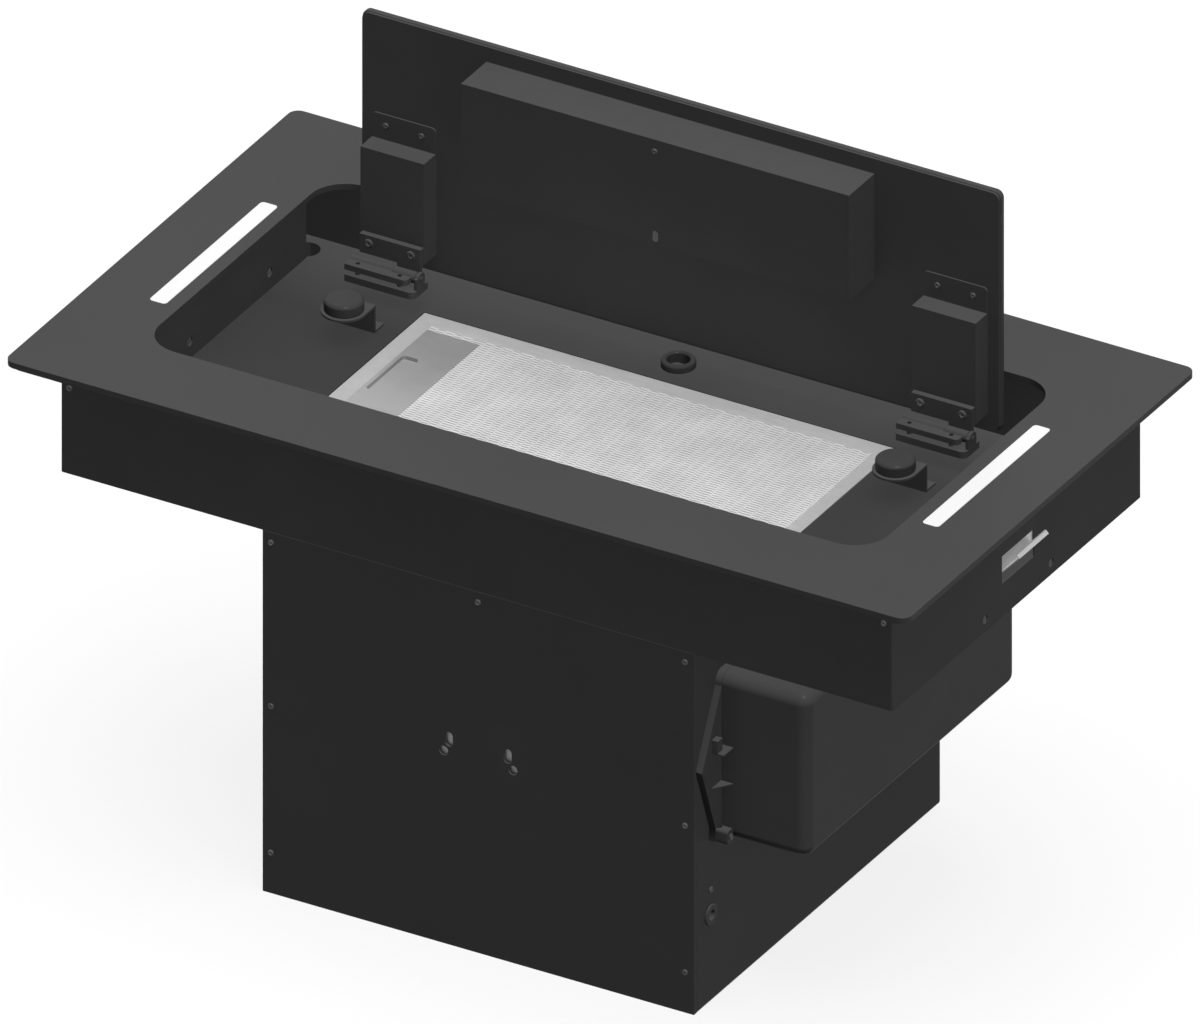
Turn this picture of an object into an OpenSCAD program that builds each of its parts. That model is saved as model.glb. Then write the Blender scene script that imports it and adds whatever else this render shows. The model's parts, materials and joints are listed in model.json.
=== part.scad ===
// Downdraft vent that drops into a worktop: a glass frame with a lifting glass flap,
// a recess with a grease filter, and a case below it with a twin-inlet blower.
// Millimetres. X runs left to right, Y front to back, Z up. The origin is at the middle
// of the whole outline, on the plane that the lower case stands on. The flap is open.

/* [Top glass] */
// Width of the glass frame, left to right
glass_w = 900; // [886:1:930]
// Depth of the glass frame, front to back
glass_d = 502; // [498:1:520]
// Thickness of the glass frame
glass_t = 6; // [5:0.5:8]
// Corner radius of the glass frame
glass_r = 10; // [4:0.5:14]
// Width of the glass beside the cut-out
frame_side = 86.5; // [84:0.5:90]
// Width of the glass in front of and behind the cut-out
frame_end = 86; // [82:0.5:88]
// Corner radius of the cut-out
cutout_r = 34; // [20:1:40]
// Width of the foam seal under the rim
seal_w = 12; // [8:1:14]
// Thickness of the foam seal
seal_t = 3; // [2:0.5:5]
// Distance of the seal from the edge of the glass
seal_inset = 4; // [2:0.5:5]

/* [Lights] */
// Width of a light window
light_w = 16.5; // [14:0.5:20]
// Length of a light window
light_l = 195.5; // [160:0.5:220]
// Corner radius of a light window
light_r = 3.5; // [2:0.5:5]
// Depth of a light housing below the glass
light_housing_h = 20; // [14:1:24]
// Room between the light window and the housing wall
light_margin = 0.75; // [0.5:0.05:1]

/* [Cases] */
// Width of the rim of glass beside the upper case
rim_side = 35; // [32:0.5:36.5]
// Width of the rim of glass in front of the upper case
rim_front = 38; // [33:0.5:39]
// Width of the rim of glass behind the upper case
rim_rear = 35; // [30:0.5:36]
// Height from the underside of the upper case to the top of the glass
upper_h = 120; // [110:1:135]
// Width of the lower case
lower_w = 430; // [420:1:440]
// How much shorter the lower case is than the upper case, front to back
lower_short = 4; // [2:0.5:8]
// Height of the lower case
lower_h = 360; // [345:1:400]
// Distance of the lower case's middle to the right of the glass's middle
lower_shift_x = 1.5; // [0:0.5:4]
// Thickness of the sheet steel
sheet_t = 1.5; // [1:0.1:2]
// Outside radius of the upright bends of the upper case
bend_r = 2.5; // [2.2:0.1:4]
// Depth of the front panel's folded edge
panel_fold = 5; // [4:0.5:8]
// Width of the flanges inside the cases
flange_w = 12; // [10:1:14]

/* [Recess] */
// Depth of the tray below the top of the glass
recess_depth = 68.6; // [66:0.2:76]
// How far the side walls stand back from the cut-out
wall_back_x = 7.5; // [5:0.5:9]
// How far the front and rear walls stand back from the cut-out
wall_back_y = 5.5; // [4:0.5:8]
// Gap between a side wall's end and the rear wall
wall_end_gap = 35; // [25:1:45]
// Radius of the holes in the side walls
wall_hole_r = 4.1; // [3:0.1:5]
// Distance between the holes in a side wall
wall_hole_pitch = 138; // [110:1:160]
// Height of the side wall holes above the tray
wall_hole_up = 17; // [12:0.5:24]
// Radius of the round hole in the tray behind each side wall's end
tray_hole_r = 12.5; // [6:0.5:13]
// Outer radius of the rubber cable grommet
grommet_r = 15.5; // [14:0.5:18]
// Bore radius of the rubber cable grommet
grommet_bore_r = 10.3; // [8:0.1:11]
// Height of the grommet above the tray
grommet_h = 7; // [5:0.5:9]
// Distance of the grommet behind the filter opening
grommet_back = 30; // [26:1:34]

/* [Grease filter] */
// Distance of the filter opening from the cut-out's ends
filter_side = 127.5; // [126.5:0.5:134]
// Distance of the filter opening behind the cut-out's front edge
filter_from_front = 61.5; // [60:0.5:70]
// Distance of the filter opening in front of the cut-out's rear edge
filter_from_rear = 59.5; // [58:0.5:68]
// Height of the filter frame
filter_h = 16; // [14:0.5:20]
// Gap round the filter in its opening
filter_gap = 0.8; // [0.3:0.1:1]
// Width of the sloping rim of the filter frame
rim_w = 15.5; // [10:0.5:20]
// Drop of the rim from its outer edge to the mesh
rim_drop = 2; // [1:0.5:3]
// Flat land on top of the filter frame
rim_land = 1; // [0.6:0.1:2]
// Width of the handle plate on the mesh
handle_plate_w = 52; // [44:1:60]
// Margin of mesh that shows at each end of the handle plate
handle_plate_margin = 7; // [4:0.5:12]
// Length of the finger recess, front to back
finger_l = 66; // [50:1:72]
// Width of the finger recess
finger_w = 16.5; // [14:0.5:20]
// Depth of the finger recess
finger_depth = 6.5; // [5:0.25:6.5]
// Width of the catch's tongue
tongue_w = 14; // [8:1:20]
// Width of the ledge lip under the filter
ledge_lip = 6; // [4:0.5:9]

/* [Flap] */
// Gap between the closed flap and the cut-out's ends
flap_gap_x = 45; // [36:0.5:48]
// How much shorter the flap is than the cut-out, front to back
flap_short = 91; // [84:1:98]
// Thickness of the flap's glass
flap_glass_t = 6; // [5:0.5:7]
// Thickness of the steel sheet behind the flap's glass
flap_back_t = 2; // [1.5:0.1:2.5]
// Corner radius of the flap
flap_r = 7; // [4:0.5:10]
// How far the flap reaches below the hinge axis
flap_drop = 8; // [4:0.5:8]
// Distance from the hinge axis to the flap's inner face
flap_offset = 30.7; // [28:0.1:33]
// Distance of the control box from the flap's ends
flap_box_inset = 125; // [120:1:148]
// Height of the control box on the flap
flap_box_h = 105; // [90:1:112]
// Depth of the control box on the flap
flap_box_d = 44; // [32:1:46]
// Distance of the control box below the flap's upper edge
flap_box_top = 15.7; // [10:0.5:20]
// Thickness of the sheet of the boxes on the flap
flap_sheet_t = 1.2; // [0.9:0.1:1.5]

/* [Hinges] */
// Distance from the flap's end to the middle of a hinge
hinge_inset = 43.5; // [40:0.5:46]
// Distance of the hinge axis in front of the cut-out's rear edge
hinge_front = 56.8; // [55:0.2:60]
// Width of a fixed hinge leaf with its cheek
hinge_w = 69; // [66:0.5:72]
// Thickness of the hinge leaves
leaf_t = 5.6; // [4.5:0.1:5.8]
// Reach of the fixed leaf in front of the axis
leaf_reach = 14; // [13:0.5:18]
// Height of the moving leaf's top above the axis
moving_leaf_h = 26; // [22:0.5:30]
// Distance from the axis to the moving leaf's near face
moving_leaf_offset = 3.4; // [3.2:0.1:4]
// Radius of the moving knuckle
knuckle_r = 5.2; // [4.5:0.1:5.5]
// Length of the moving knuckle
knuckle_l = 22; // [16:1:28]
// Radius of the hinge pin
hinge_pin_r = 2.5; // [2:0.1:3]
// Thickness of the hinge base plate
base_t = 6.7; // [5:0.1:7]
// Gap between the fixed leaf and the base plate
base_gap = 5; // [5:0.1:6]
// Width of a hinge box
hinge_box_w = 63.4; // [60:0.5:66]
// Height of a hinge box
hinge_box_h = 100.6; // [88:0.5:110]
// Height of a hinge box's bottom above the axis
hinge_box_up = 8.5; // [8.2:0.1:12]
// Height of the flange above a hinge box
hinge_flange_h = 25; // [18:0.5:30]
// Corner radius of the flange above a hinge box
hinge_flange_r = 4.3; // [2:0.1:6]

/* [Flap stops] */
// Radius of a rubber stop
bumper_r = 17.7; // [14:0.1:19]
// Height of a rubber stop
bumper_h = 11.2; // [8:0.1:13]
// Distance of the stops in front of the hinge axis
bumper_front = 74.2; // [66:0.2:80]
// Width of a stop's bracket
bumper_bracket_w = 40.6; // [36:0.1:44]
// Gap between a stop and the closed flap
bumper_gap = 0.4; // [0.3:0.1:1]

/* [Side springs] */
// Width of the slot for a side spring, front to back
spring_slot_w = 55.8; // [50:0.2:62]
// Height of the slot for a side spring
spring_slot_h = 27.4; // [22:0.2:32]
// Height of the slot's top below the top of the glass
spring_slot_down = 59.6; // [58:0.2:62]
// How far a side spring reaches out of the case
spring_reach = 16; // [13:0.5:18]
// Thickness of the spring steel
spring_t = 1; // [0.8:0.1:1.2]
// Rise of the spring's slope from its root to its bend
spring_rise = 16; // [13:0.5:18]
// Height of the lip beyond the spring's bend
spring_lip_h = 2.7; // [2:0.1:3.5]
// How far the lip leans back towards the case
spring_lip_in = 2.8; // [2:0.1:3.5]
// Inside radius of the bend between a side spring's legs
spring_bend_r = 0.7; // [0.6:0.1:1]
// Height of the spring's root below the top of its slot
spring_root_down = 15; // [13:0.5:18]
// Radius of the fixing holes below each side slot
side_hole_r = 3.9; // [3:0.1:4.5]
// Distance between the fixing holes on a side
side_hole_pitch = 113.6; // [90:0.2:130]
// Height of the fixing holes above the underside of the upper case
side_hole_up = 12; // [8:0.5:18]

/* [Blower] */
// Smallest inner radius of the scroll
scroll_r = 118; // [114:1:120]
// Growth of the scroll's radius in each quarter turn
scroll_step = 20; // [17:0.5:21]
// Width of the rim round the scroll's side plates
scroll_rim = 8; // [6:0.5:9]
// Radius of the impeller
impeller_r = 95; // [88:1:97]
// Number of blades of the impeller
blade_count = 32; // [24:1:36]
// Thickness of a blade
blade_t = 1; // [0.8:0.1:1.5]
// Radial depth of a blade
blade_d = 14; // [10:0.5:16]
// Radius of the fan shaft
shaft_r = 5; // [4:0.25:6]
// Radius of the motor
motor_r = 52; // [44:1:56]
// Length of the motor
motor_l = 62; // [50:1:70]
// Outer radius of the duct spigot
spigot_r = 75; // [72:0.5:76]
// Wall of the duct spigot
spigot_t = 2; // [1.5:0.1:2.5]
// Length of the duct spigot behind the case
spigot_out = 35; // [28:0.5:38]
// Length of the duct spigot inside the case
spigot_in = 38; // [34:0.5:44]
// Thickness of a damper flap
damper_t = 1.2; // [1:0.1:2]

/* [Electronics box] */
// Distance of the electronics box in front of the lower case's rear
elec_from_rear = 27.7; // [22:0.1:58]
// Height of the electronics box
elec_h = 162.4; // [150:0.4:170]
// How far the electronics box stands out from the case
elec_out = 92.6; // [80:0.2:100]
// Thickness of its moulded base
elec_base_t = 6.7; // [5:0.1:8]
// Wall of its moulded cover
elec_wall = 2.5; // [2:0.1:3]
// Corner radius of the moulded box
elec_r = 11; // [6:0.5:14]
// Distance of the box's top below the upper case
elec_down = 36.3; // [30:0.1:44]
// Distance of the box's front behind the case's front
elec_back = 36.3; // [34:0.1:40]
// How far the base's nose reaches in front of the box
nose_reach = 33.7; // [28:0.1:33.7]

/* [Cable gland] */
// Bore radius of the cable gland
gland_bore_r = 4.5; // [3:0.1:5]
// Radius of the gland's body
gland_r = 7; // [6:0.1:8]
// Radius of the gland's outer flange
gland_flange_r = 10; // [9:0.1:12]
// Distance of the gland below the electronics box
gland_down = 75.1; // [60:0.1:85]
// Distance of the gland behind the case's front
gland_back = 28.5; // [20:0.5:34]

/* [Hidden] */
$fn = 48;

// Finishes
black_glass = [0.09, 0.09, 0.09];
black_paint = [0.12, 0.12, 0.12];
black_plastic = [0.14, 0.14, 0.14];
rubber = [0.1, 0.1, 0.1];
opal = [0.95, 0.95, 0.95];
zinc = [0.62, 0.63, 0.64];
stainless = [0.75, 0.75, 0.76];
aluminium = [0.72, 0.72, 0.72];
board_green = [0.1, 0.35, 0.2];

// Clearances shared by several pieces
cut = 1;
fit_gap = 0.2;
running_gap = 0.05;
side_gap = 0.3;
seat_gap = 0.3;

// Screws, the same kind everywhere
screw_head_r = 3;
screw_head_h = 1.6;
screw_r = 1.5;
screw_l = 3.4;
screw_gap = 0.1;

// Levels
top_z = lower_h + upper_h;
glass_z = top_z - glass_t;
tray_z = top_z - recess_depth;
tray_under_z = tray_z - sheet_t;

// Outlines of the cut-out and of the cases, seen from above
cutout_w = glass_w - 2 * frame_side;
cutout_d = glass_d - 2 * frame_end;
case_w = glass_w - 2 * rim_side;
case_d = glass_d - rim_front - rim_rear;
case_shift_y = (rim_front - rim_rear) / 2;
lower_d = case_d - lower_short;
case_x = case_w / 2;
case_front = case_shift_y - case_d / 2;
case_back = case_front + case_d;
lower_left = lower_shift_x - lower_w / 2;
lower_right = lower_left + lower_w;
lower_back = case_front + lower_d;
panel_in = case_front + sheet_t;
lower_in_left = lower_left + sheet_t;
lower_in_right = lower_right - sheet_t;

// Recess
wall_x = cutout_w / 2 + wall_back_x;
wall_y = cutout_d / 2 + wall_back_y;
side_wall_end = wall_y - wall_end_gap;
tray_hole_x = wall_x + sheet_t + tray_hole_r / 2;
tray_hole_clear = 0.3;
tray_hole_y = side_wall_end + tray_hole_r + tray_hole_clear;

// Lights
light_housing_w = light_w + 2 * light_margin + 2 * sheet_t;
light_wall_gap = 2.3;
light_x = wall_x + sheet_t + light_wall_gap + light_housing_w / 2;
light_housing_l = light_l + 2 * light_margin + 2 * sheet_t;
light_board_t = 1.6;
light_board_w_share = 0.6;
light_chip_count = 9;

// Filter
filter_l = cutout_w - 2 * filter_side;
filter_d = cutout_d - filter_from_front - filter_from_rear;
filter_shift_y = (filter_from_front - filter_from_rear) / 2;
filter_z = tray_z - filter_h;
filter_left = -filter_l / 2 + filter_gap;
filter_right = filter_l / 2 - filter_gap;
filter_front = filter_shift_y - filter_d / 2 + filter_gap;
filter_rear = filter_shift_y + filter_d / 2 - filter_gap;
mesh_step = 0.4;
mesh_top = tray_z - rim_drop - mesh_step;
mesh_t = 3;
handle_t = 1;
handle_z = mesh_top;
finger_inset = 3.8;
finger_r = 4;
finger_x = filter_left + rim_w + finger_inset;
finger_wall = 0.8;
finger_floor_z = handle_z + handle_t - finger_depth;
slide_room = 6.7;
pan_l = finger_w + slide_room;
catch_gap = 0.3;
catch_t = 3;
tongue_t = 1.5;
tongue_up = 1;
tongue_z = finger_floor_z + tongue_up;
tongue_reach_share = 0.8;
ledge_t = 1.2;
ledge_flange_w = 7;

// Flap and hinges
flap_w = cutout_w - 2 * flap_gap_x;
flap_h = cutout_d - flap_short;
flap_box_w = flap_w - 2 * flap_box_inset;
axis_y = cutout_d / 2 - hinge_front;
flap_front = axis_y + flap_offset;
flap_seam = flap_front + flap_back_t;
flap_rear = flap_seam + flap_glass_t;
axis_z = top_z - (flap_rear - axis_y);
flap_low = axis_z - flap_drop;
flap_top = flap_low + flap_h;
backing_inset = 1;
hinge_x = flap_w / 2 - hinge_inset;
cheek_t = 3;
cheek_r = 6;
fixed_knuckle_r = 5;
leaf_half = leaf_t / 2;
base_z = axis_z - leaf_half - base_gap - base_t;
base_back = 11;
base_leg_t = 2;
base_leg_w = 48;
base_foot_d = 14;
base_corner_r = 6;
leaf_hole_inset = 10;
leaf_hole_front = 7.8;
leaf_hole_r = 2.2;
leaf_end_gap = 4.3;
leaf_corner_r = 4;
leaf_w = hinge_w - cheek_t - leaf_end_gap;
leaf_holes = [leaf_hole_inset, leaf_w - leaf_hole_inset];
moving_leaf_front = axis_y + moving_leaf_offset;
moving_leaf_back = moving_leaf_front + leaf_t;
moving_leaf_w = 60.5;
leaf_shift = 1;
leaf_gap = 1;
moving_leaf_low = axis_z + hinge_box_up - leaf_gap;
leaf_screw_pitch = 42;
leaf_screw_down = 7.5;
washer_t = 1.2;
washer_r = 4.6;
flange_screw_pitch = 35.4;
flange_screw_down = 10.8;
box_screw_down = 11.7;
box_slot_w = 6;
box_slot_h = 10.4;
box_slot_up = 8.6;
box_top = flap_top - flap_box_top;
box_low = box_top - flap_box_h;
control_board_inset = 20;
control_board_t = 1.6;
control_board_off = 8;
control_chip = [40, 14, 24];

// Flap stops
bumper_top = axis_z + moving_leaf_offset + leaf_t - bumper_gap;
bumper_z = bumper_top - bumper_h;
bumper_y = axis_y - bumper_front;
bumper_tab_t = 2;
bumper_leg_back = 20;
bumper_foot_d = 14;
bumper_edge_r = 2;

// Side springs
spring_x = case_x - sheet_t;
slot_top = top_z - spring_slot_down;
spring_root_z = slot_top - spring_root_down;
spring_shift = 1.9;
spring_y = case_shift_y + spring_shift;
spring_side_gap = 0.8;
spring_plate_top = 15;
spring_taper = 2;
spring_mid_r = spring_bend_r + spring_t / 2;
bend_lap = 20;

// Blower
blower_x = lower_shift_x;
outlet_clear = 3;
outlet = 2 * (spigot_r + outlet_clear);
front_room = 2.5;
half_step = scroll_step / 2;
fan_y = panel_in + front_room + scroll_rim + sheet_t + scroll_r + 3 * half_step;
fan_z = 2 * sheet_t + scroll_rim + scroll_r + 5 * half_step;
outlet_low = 2 * sheet_t + scroll_rim;
outlet_top = outlet_low + outlet;
spigot_z = outlet_low + outlet / 2;
inlet_r = impeller_r - blade_d;
inlet_lip = 5;
impeller_side_gap = 12;
impeller_half = outlet / 2 - impeller_side_gap;
ring_t = 2;
hub_r = 18;
hub_half = 14;
blade_tilt = 35;
mount_standoff = 6;
mount_boss_r = 5;
mount_hole_r = 20;
mount_arm_w = 16;
mount_turn = 90;
motor_face = blower_x - outlet / 2 - 2 * sheet_t - mount_standoff;
motor_cap_l = 10;
motor_cap_r_share = 0.7;
shaft_in_motor = 34;
shaft_end_l = 1;
bracket_w = 150;
bracket_rise = 4;
bracket_low = fan_z + bracket_rise;
bracket_h = 44;
bracket_d = 36;
front_slot_w = 7.9;
front_slot_h = 14.1;
front_slot_x = 29.3;
front_slot_z = 204.5;
front_hole_r = 4.6;
front_hole_x = 34.6;
front_hole_z = 192;
spigot_flange_w = 12;
spigot_flange_t = 2;
spigot_screw_r = spigot_r + spigot_flange_w / 2;
wall_out = lower_back;
spigot_end = wall_out + spigot_out;
spigot_start = wall_out - spigot_in;
damper_in = 7;
damper_y = spigot_start + damper_in;
damper_pin_r = 2;
damper_barrel_r = 4;
damper_gap = 1.5;
damper_barrel_inner = 18;
damper_barrel_outer = 46;
damper_barrel_gap = 0.4;

// Electronics box
elec_x = lower_right;
elec_front = case_front + elec_back;
elec_rear = lower_back - elec_from_rear;
elec_l = elec_rear - elec_front;
elec_top = lower_h - elec_down;
elec_low = elec_top - elec_h;
nose_high_share = 0.92;
nose_mid_share = 0.49;
clamp_h = 13.7;
clamp_t = 12;
clamp_reach = 10.5;
clamp_edge_r = 3;
clamp_groove_r = 3.2;
clamp_front = elec_front - clamp_reach;
clamp_y = clamp_front + clamp_reach / 2;
clamp_z = elec_low + clamp_h / 2;
pocket_rib_t = 1.6;
pocket_rib_h = 12;
board_inset = 26;
board_t = 1.6;
board_post_h = 8;
board_post_r = 3;
board_x = elec_x + elec_base_t + board_post_h;

// Pieces on the circuit board: height off it as a share of the board's height, then their
// limits as shares of its length and of its height
coil_shares = [0.35, 0.6, 0.8, 0.3, 0.8];
can_shares = [0.4, 0.48, 0.16];
relay_shares = [0.2, 0.22, 0.27, 0.2, 0.4];
relay_pitch_share = 0.07;
relay_count = 3;
plug_shares = [0.15, 0.05, 0.1, 0.2, 0.8];

// Cable gland
gland_up = elec_low - gland_down;
gland_y = case_front + gland_back;
gland_flange_t = 2;
gland_nut_r = 9.5;
gland_nut_t = 6;
earth_up = 25;

// Screw places on the front, as shares of the panels' sizes or distances from their edges
panel_screw_inset = 8.5;
panel_screw_low = 40.4;
panel_screw_mid_share = 0.518;
panel_screw_top = 10.4;
case_screw_inset = 9;
case_screw_down = 34.5;

// A box from its limits along X, Y and Z
module block(x, y, z) {
  translate([x[0], y[0], z[0]])
    cube([x[1] - x[0], y[1] - y[0], z[1] - z[0]]);
}

// A rectangle with round corners, about its middle
module rounded_rect(w, d, r) {
  square([w - 2 * r, d], center = true);
  square([w, d - 2 * r], center = true);
  for (sx = [-1, 1], sy = [-1, 1])
    translate([sx * (w / 2 - r), sy * (d / 2 - r)])
      circle(r);
}

// A flat plate with round corners, standing on height z
module plate(w, d, r, z, t) {
  translate([0, 0, z])
    linear_extrude(t)
      rounded_rect(w, d, r);
}

// A shape drawn in X and Z, given a thickness towards the front from the plane y
module facing_front(y, t) {
  translate([0, y, 0])
    rotate([90, 0, 0])
      linear_extrude(t)
        children();
}

// A shape drawn in Y and Z, given a thickness towards the right from the plane x
module facing_side(x, t) {
  translate([x, 0, 0])
    rotate([90, 0, 90])
      linear_extrude(t)
        children();
}

// A cylinder along X from x0 to x1, about a point in Y and Z
module bar_x(x, y, z, r) {
  translate([x[0], y, z])
    rotate([0, 90, 0])
      cylinder(h = x[1] - x[0], r = r);
}

// A cylinder along Y
module bar_y(x, y, z, r) {
  translate([x, y[1], z])
    rotate([90, 0, 0])
      cylinder(h = y[1] - y[0], r = r);
}

// A cylinder along Z
module bar_z(x, y, z, r) {
  translate([x, y, z[0]])
    cylinder(h = z[1] - z[0], r = r);
}

// The piece and its mirror image on the other side of the glass's middle
module left_side() {
  mirror([1, 0, 0])
    children();
}

// A pan-head screw: the head above height 0, the shank below it
module screw() {
  cylinder(h = screw_head_h, r1 = screw_head_r, r2 = screw_head_r - screw_head_h / 2);
  translate([0, 0, -screw_l])
    cylinder(h = screw_l, r = screw_r);
}

// Screws that face the front, the right or the back
module screw_front(x, y, z) {
  translate([x, y, z])
    rotate([90, 0, 0])
      screw();
}
module screw_right(x, y, z) {
  translate([x, y, z])
    rotate([0, 90, 0])
      screw();
}
module screw_back(x, y, z) {
  translate([x, y, z])
    rotate([-90, 0, 0])
      screw();
}

// The screw's hole, drilled along Y or X through the sheets that it joins
module hole_y(x, y, z) {
  bar_y(x, [y - screw_l - cut, y + screw_l + cut], z, screw_r + screw_gap);
}
module hole_x(x, y, z) {
  bar_x([x - screw_l - cut, x + screw_l + cut], y, z, screw_r + screw_gap);
}

// Places of the front panel's screws, as [x, z]
panel_screws = [
  [lower_left + panel_screw_inset, panel_screw_low],
  [lower_right - panel_screw_inset, panel_screw_low],
  [lower_left + panel_screw_inset, lower_h * panel_screw_mid_share],
  [lower_right - panel_screw_inset, lower_h * panel_screw_mid_share],
  [lower_left + panel_screw_inset, lower_h - panel_screw_top],
  [lower_shift_x, lower_h - panel_screw_top],
  [lower_right - panel_screw_inset, lower_h - panel_screw_top]
];
case_screw_places = [
  for (side = [-1, 1]) [side * (case_x - case_screw_inset), top_z - case_screw_down]
];

// Top glass with its cut-out and the windows for the lights
module top_glass() {
  color(black_glass)
    difference() {
      plate(glass_w, glass_d, glass_r, glass_z, glass_t);
      plate(cutout_w, cutout_d, cutout_r, glass_z - cut, glass_t + 2 * cut);
      for (side = [-1, 1])
        translate([side * light_x, 0, 0])
          plate(light_w + 2 * fit_gap, light_l + 2 * fit_gap, light_r + fit_gap,
            glass_z - cut, glass_t + 2 * cut);
    }
}

// Foam seal between the glass rim and the worktop
module worktop_seal() {
  outer_w = glass_w - 2 * seal_inset;
  outer_d = glass_d - 2 * seal_inset;
  color(rubber)
    difference() {
      plate(outer_w, outer_d, glass_r, glass_z - seal_t, seal_t);
      translate([0, 0, glass_z - seal_t - cut])
        linear_extrude(seal_t + 2 * cut)
          square([outer_w - 2 * seal_w, outer_d - 2 * seal_w], center = true);
    }
}

// Light window, flush with the glass
module light_cover() {
  color(opal)
    translate([light_x, 0, 0])
      plate(light_w, light_l, light_r, glass_z, glass_t);
}

module light_cover_right() {
  light_cover();
}

module light_cover_left() {
  left_side()
    light_cover();
}

// Channels that hold the light boards under the glass
module light_housings() {
  inner_w = light_housing_w - 2 * sheet_t;
  inner_l = light_housing_l - 2 * sheet_t;
  low = glass_z - light_housing_h;
  color(zinc)
    for (side = [-1, 1])
      translate([side * light_x, 0, 0])
        difference() {
          block([-light_housing_w / 2, light_housing_w / 2],
            [-light_housing_l / 2, light_housing_l / 2], [low, glass_z]);
          block([-inner_w / 2, inner_w / 2], [-inner_l / 2, inner_l / 2],
            [low + sheet_t, glass_z + cut]);
        }
}

// Strips of light diodes on the channels' floors
module light_boards() {
  floor_z = glass_z - light_housing_h + sheet_t;
  half_w = light_w * light_board_w_share / 2;
  chip = half_w / 2;
  color(board_green)
    for (side = [-1, 1])
      translate([side * light_x, 0, 0]) {
        block([-half_w, half_w], [-light_l / 2, light_l / 2],
          [floor_z, floor_z + light_board_t]);
        for (i = [0:light_chip_count - 1])
          translate([0, light_l * ((i + 0.5) / light_chip_count - 0.5), 0])
            block([-chip, chip], [-chip, chip],
              [floor_z + light_board_t, floor_z + 2 * light_board_t]);
      }
}

// Upper case: four walls and a floor that opens into the lower case
module upper_case() {
  height = glass_z - lower_h;
  inner_w = case_w - 2 * sheet_t;
  inner_d = case_d - 2 * sheet_t;
  color(black_paint)
    difference() {
      translate([0, case_shift_y, 0])
        difference() {
          plate(case_w, case_d, bend_r, lower_h, height);
          plate(inner_w, inner_d, bend_r - sheet_t, lower_h + sheet_t, height);
        }
      block([lower_in_left + flange_w, lower_in_right - flange_w],
        [panel_in + flange_w, lower_back - sheet_t - flange_w],
        [lower_h - cut, lower_h + sheet_t + cut]);
      block([-case_x - cut, case_x + cut],
        [spring_y - spring_slot_w / 2, spring_y + spring_slot_w / 2],
        [slot_top - spring_slot_h, slot_top]);
      for (place = case_screw_places)
        hole_y(place[0], case_front, place[1]);
      for (side = [-1, 1], end = [-1, 1])
        bar_x([side * case_x - 2 * sheet_t, side * case_x + 2 * sheet_t],
          spring_y + end * side_hole_pitch / 2, lower_h + side_hole_up, side_hole_r);
    }
}

// Floor of the recess, with the filter opening and the cable holes
module recess_tray() {
  w = case_w - 2 * sheet_t - 2 * fit_gap;
  d = case_d - 2 * sheet_t - 2 * fit_gap;
  color(black_paint)
    difference() {
      translate([0, case_shift_y, 0])
        plate(w, d, bend_r - sheet_t, tray_under_z, sheet_t);
      block([-filter_l / 2, filter_l / 2],
        [filter_shift_y - filter_d / 2, filter_shift_y + filter_d / 2],
        [tray_under_z - cut, tray_z + cut]);
      bar_z(0, grommet_y, [tray_under_z - cut, tray_z + cut], grommet_neck_r + fit_gap);
      for (side = [-1, 1]) {
        bar_z(side * tray_hole_x, tray_hole_y, [tray_under_z - cut, tray_z + cut],
          tray_hole_r);
        block([side * spring_x - spring_t - fit_gap, side * spring_x + spring_t + fit_gap],
          [spring_y - spring_slot_w / 2, spring_y + spring_slot_w / 2],
          [tray_under_z - cut, tray_z + cut]);
      }
    }
}

// Rubber ring that lines the cable hole in the tray
grommet_y = filter_shift_y + filter_d / 2 + grommet_back;
grommet_neck_r = (grommet_r + grommet_bore_r) / 2;
module tray_grommet() {
  skirt = sheet_t;
  low = tray_under_z - skirt;
  crown = grommet_h / 3;
  color(rubber)
    translate([0, grommet_y, 0])
      rotate_extrude()
        polygon([
          [grommet_bore_r, low],
          [grommet_r - crown, low],
          [grommet_r - crown, tray_under_z],
          [grommet_neck_r, tray_under_z],
          [grommet_neck_r, tray_z],
          [grommet_r, tray_z],
          [grommet_r, tray_z + grommet_h - crown],
          [grommet_r - crown / 3, tray_z + grommet_h - crown / 3],
          [grommet_r - crown, tray_z + grommet_h],
          [grommet_bore_r + crown / 2, tray_z + grommet_h],
          [grommet_bore_r, tray_z + grommet_h - crown / 2]
        ]);
}

// Side wall of the recess, with two round holes
module recess_wall_right() {
  color(black_paint)
    difference() {
      block([wall_x, wall_x + sheet_t], [-wall_y, side_wall_end], [tray_z, glass_z]);
      for (end = [-1, 1])
        bar_x([wall_x - cut, wall_x + sheet_t + cut], spring_y + end * wall_hole_pitch / 2,
          tray_z + wall_hole_up, wall_hole_r);
    }
}

module recess_wall_left() {
  left_side()
    recess_wall_right();
}

// Front and rear walls of the recess
module recess_wall_front() {
  color(black_paint)
    block([-wall_x - sheet_t, wall_x + sheet_t], [-wall_y - sheet_t, -wall_y],
      [tray_z, glass_z]);
}

module recess_wall_rear() {
  reach = case_x - sheet_t - fit_gap;
  color(black_paint)
    block([-reach, reach], [wall_y, wall_y + sheet_t], [tray_z, glass_z]);
}

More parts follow.
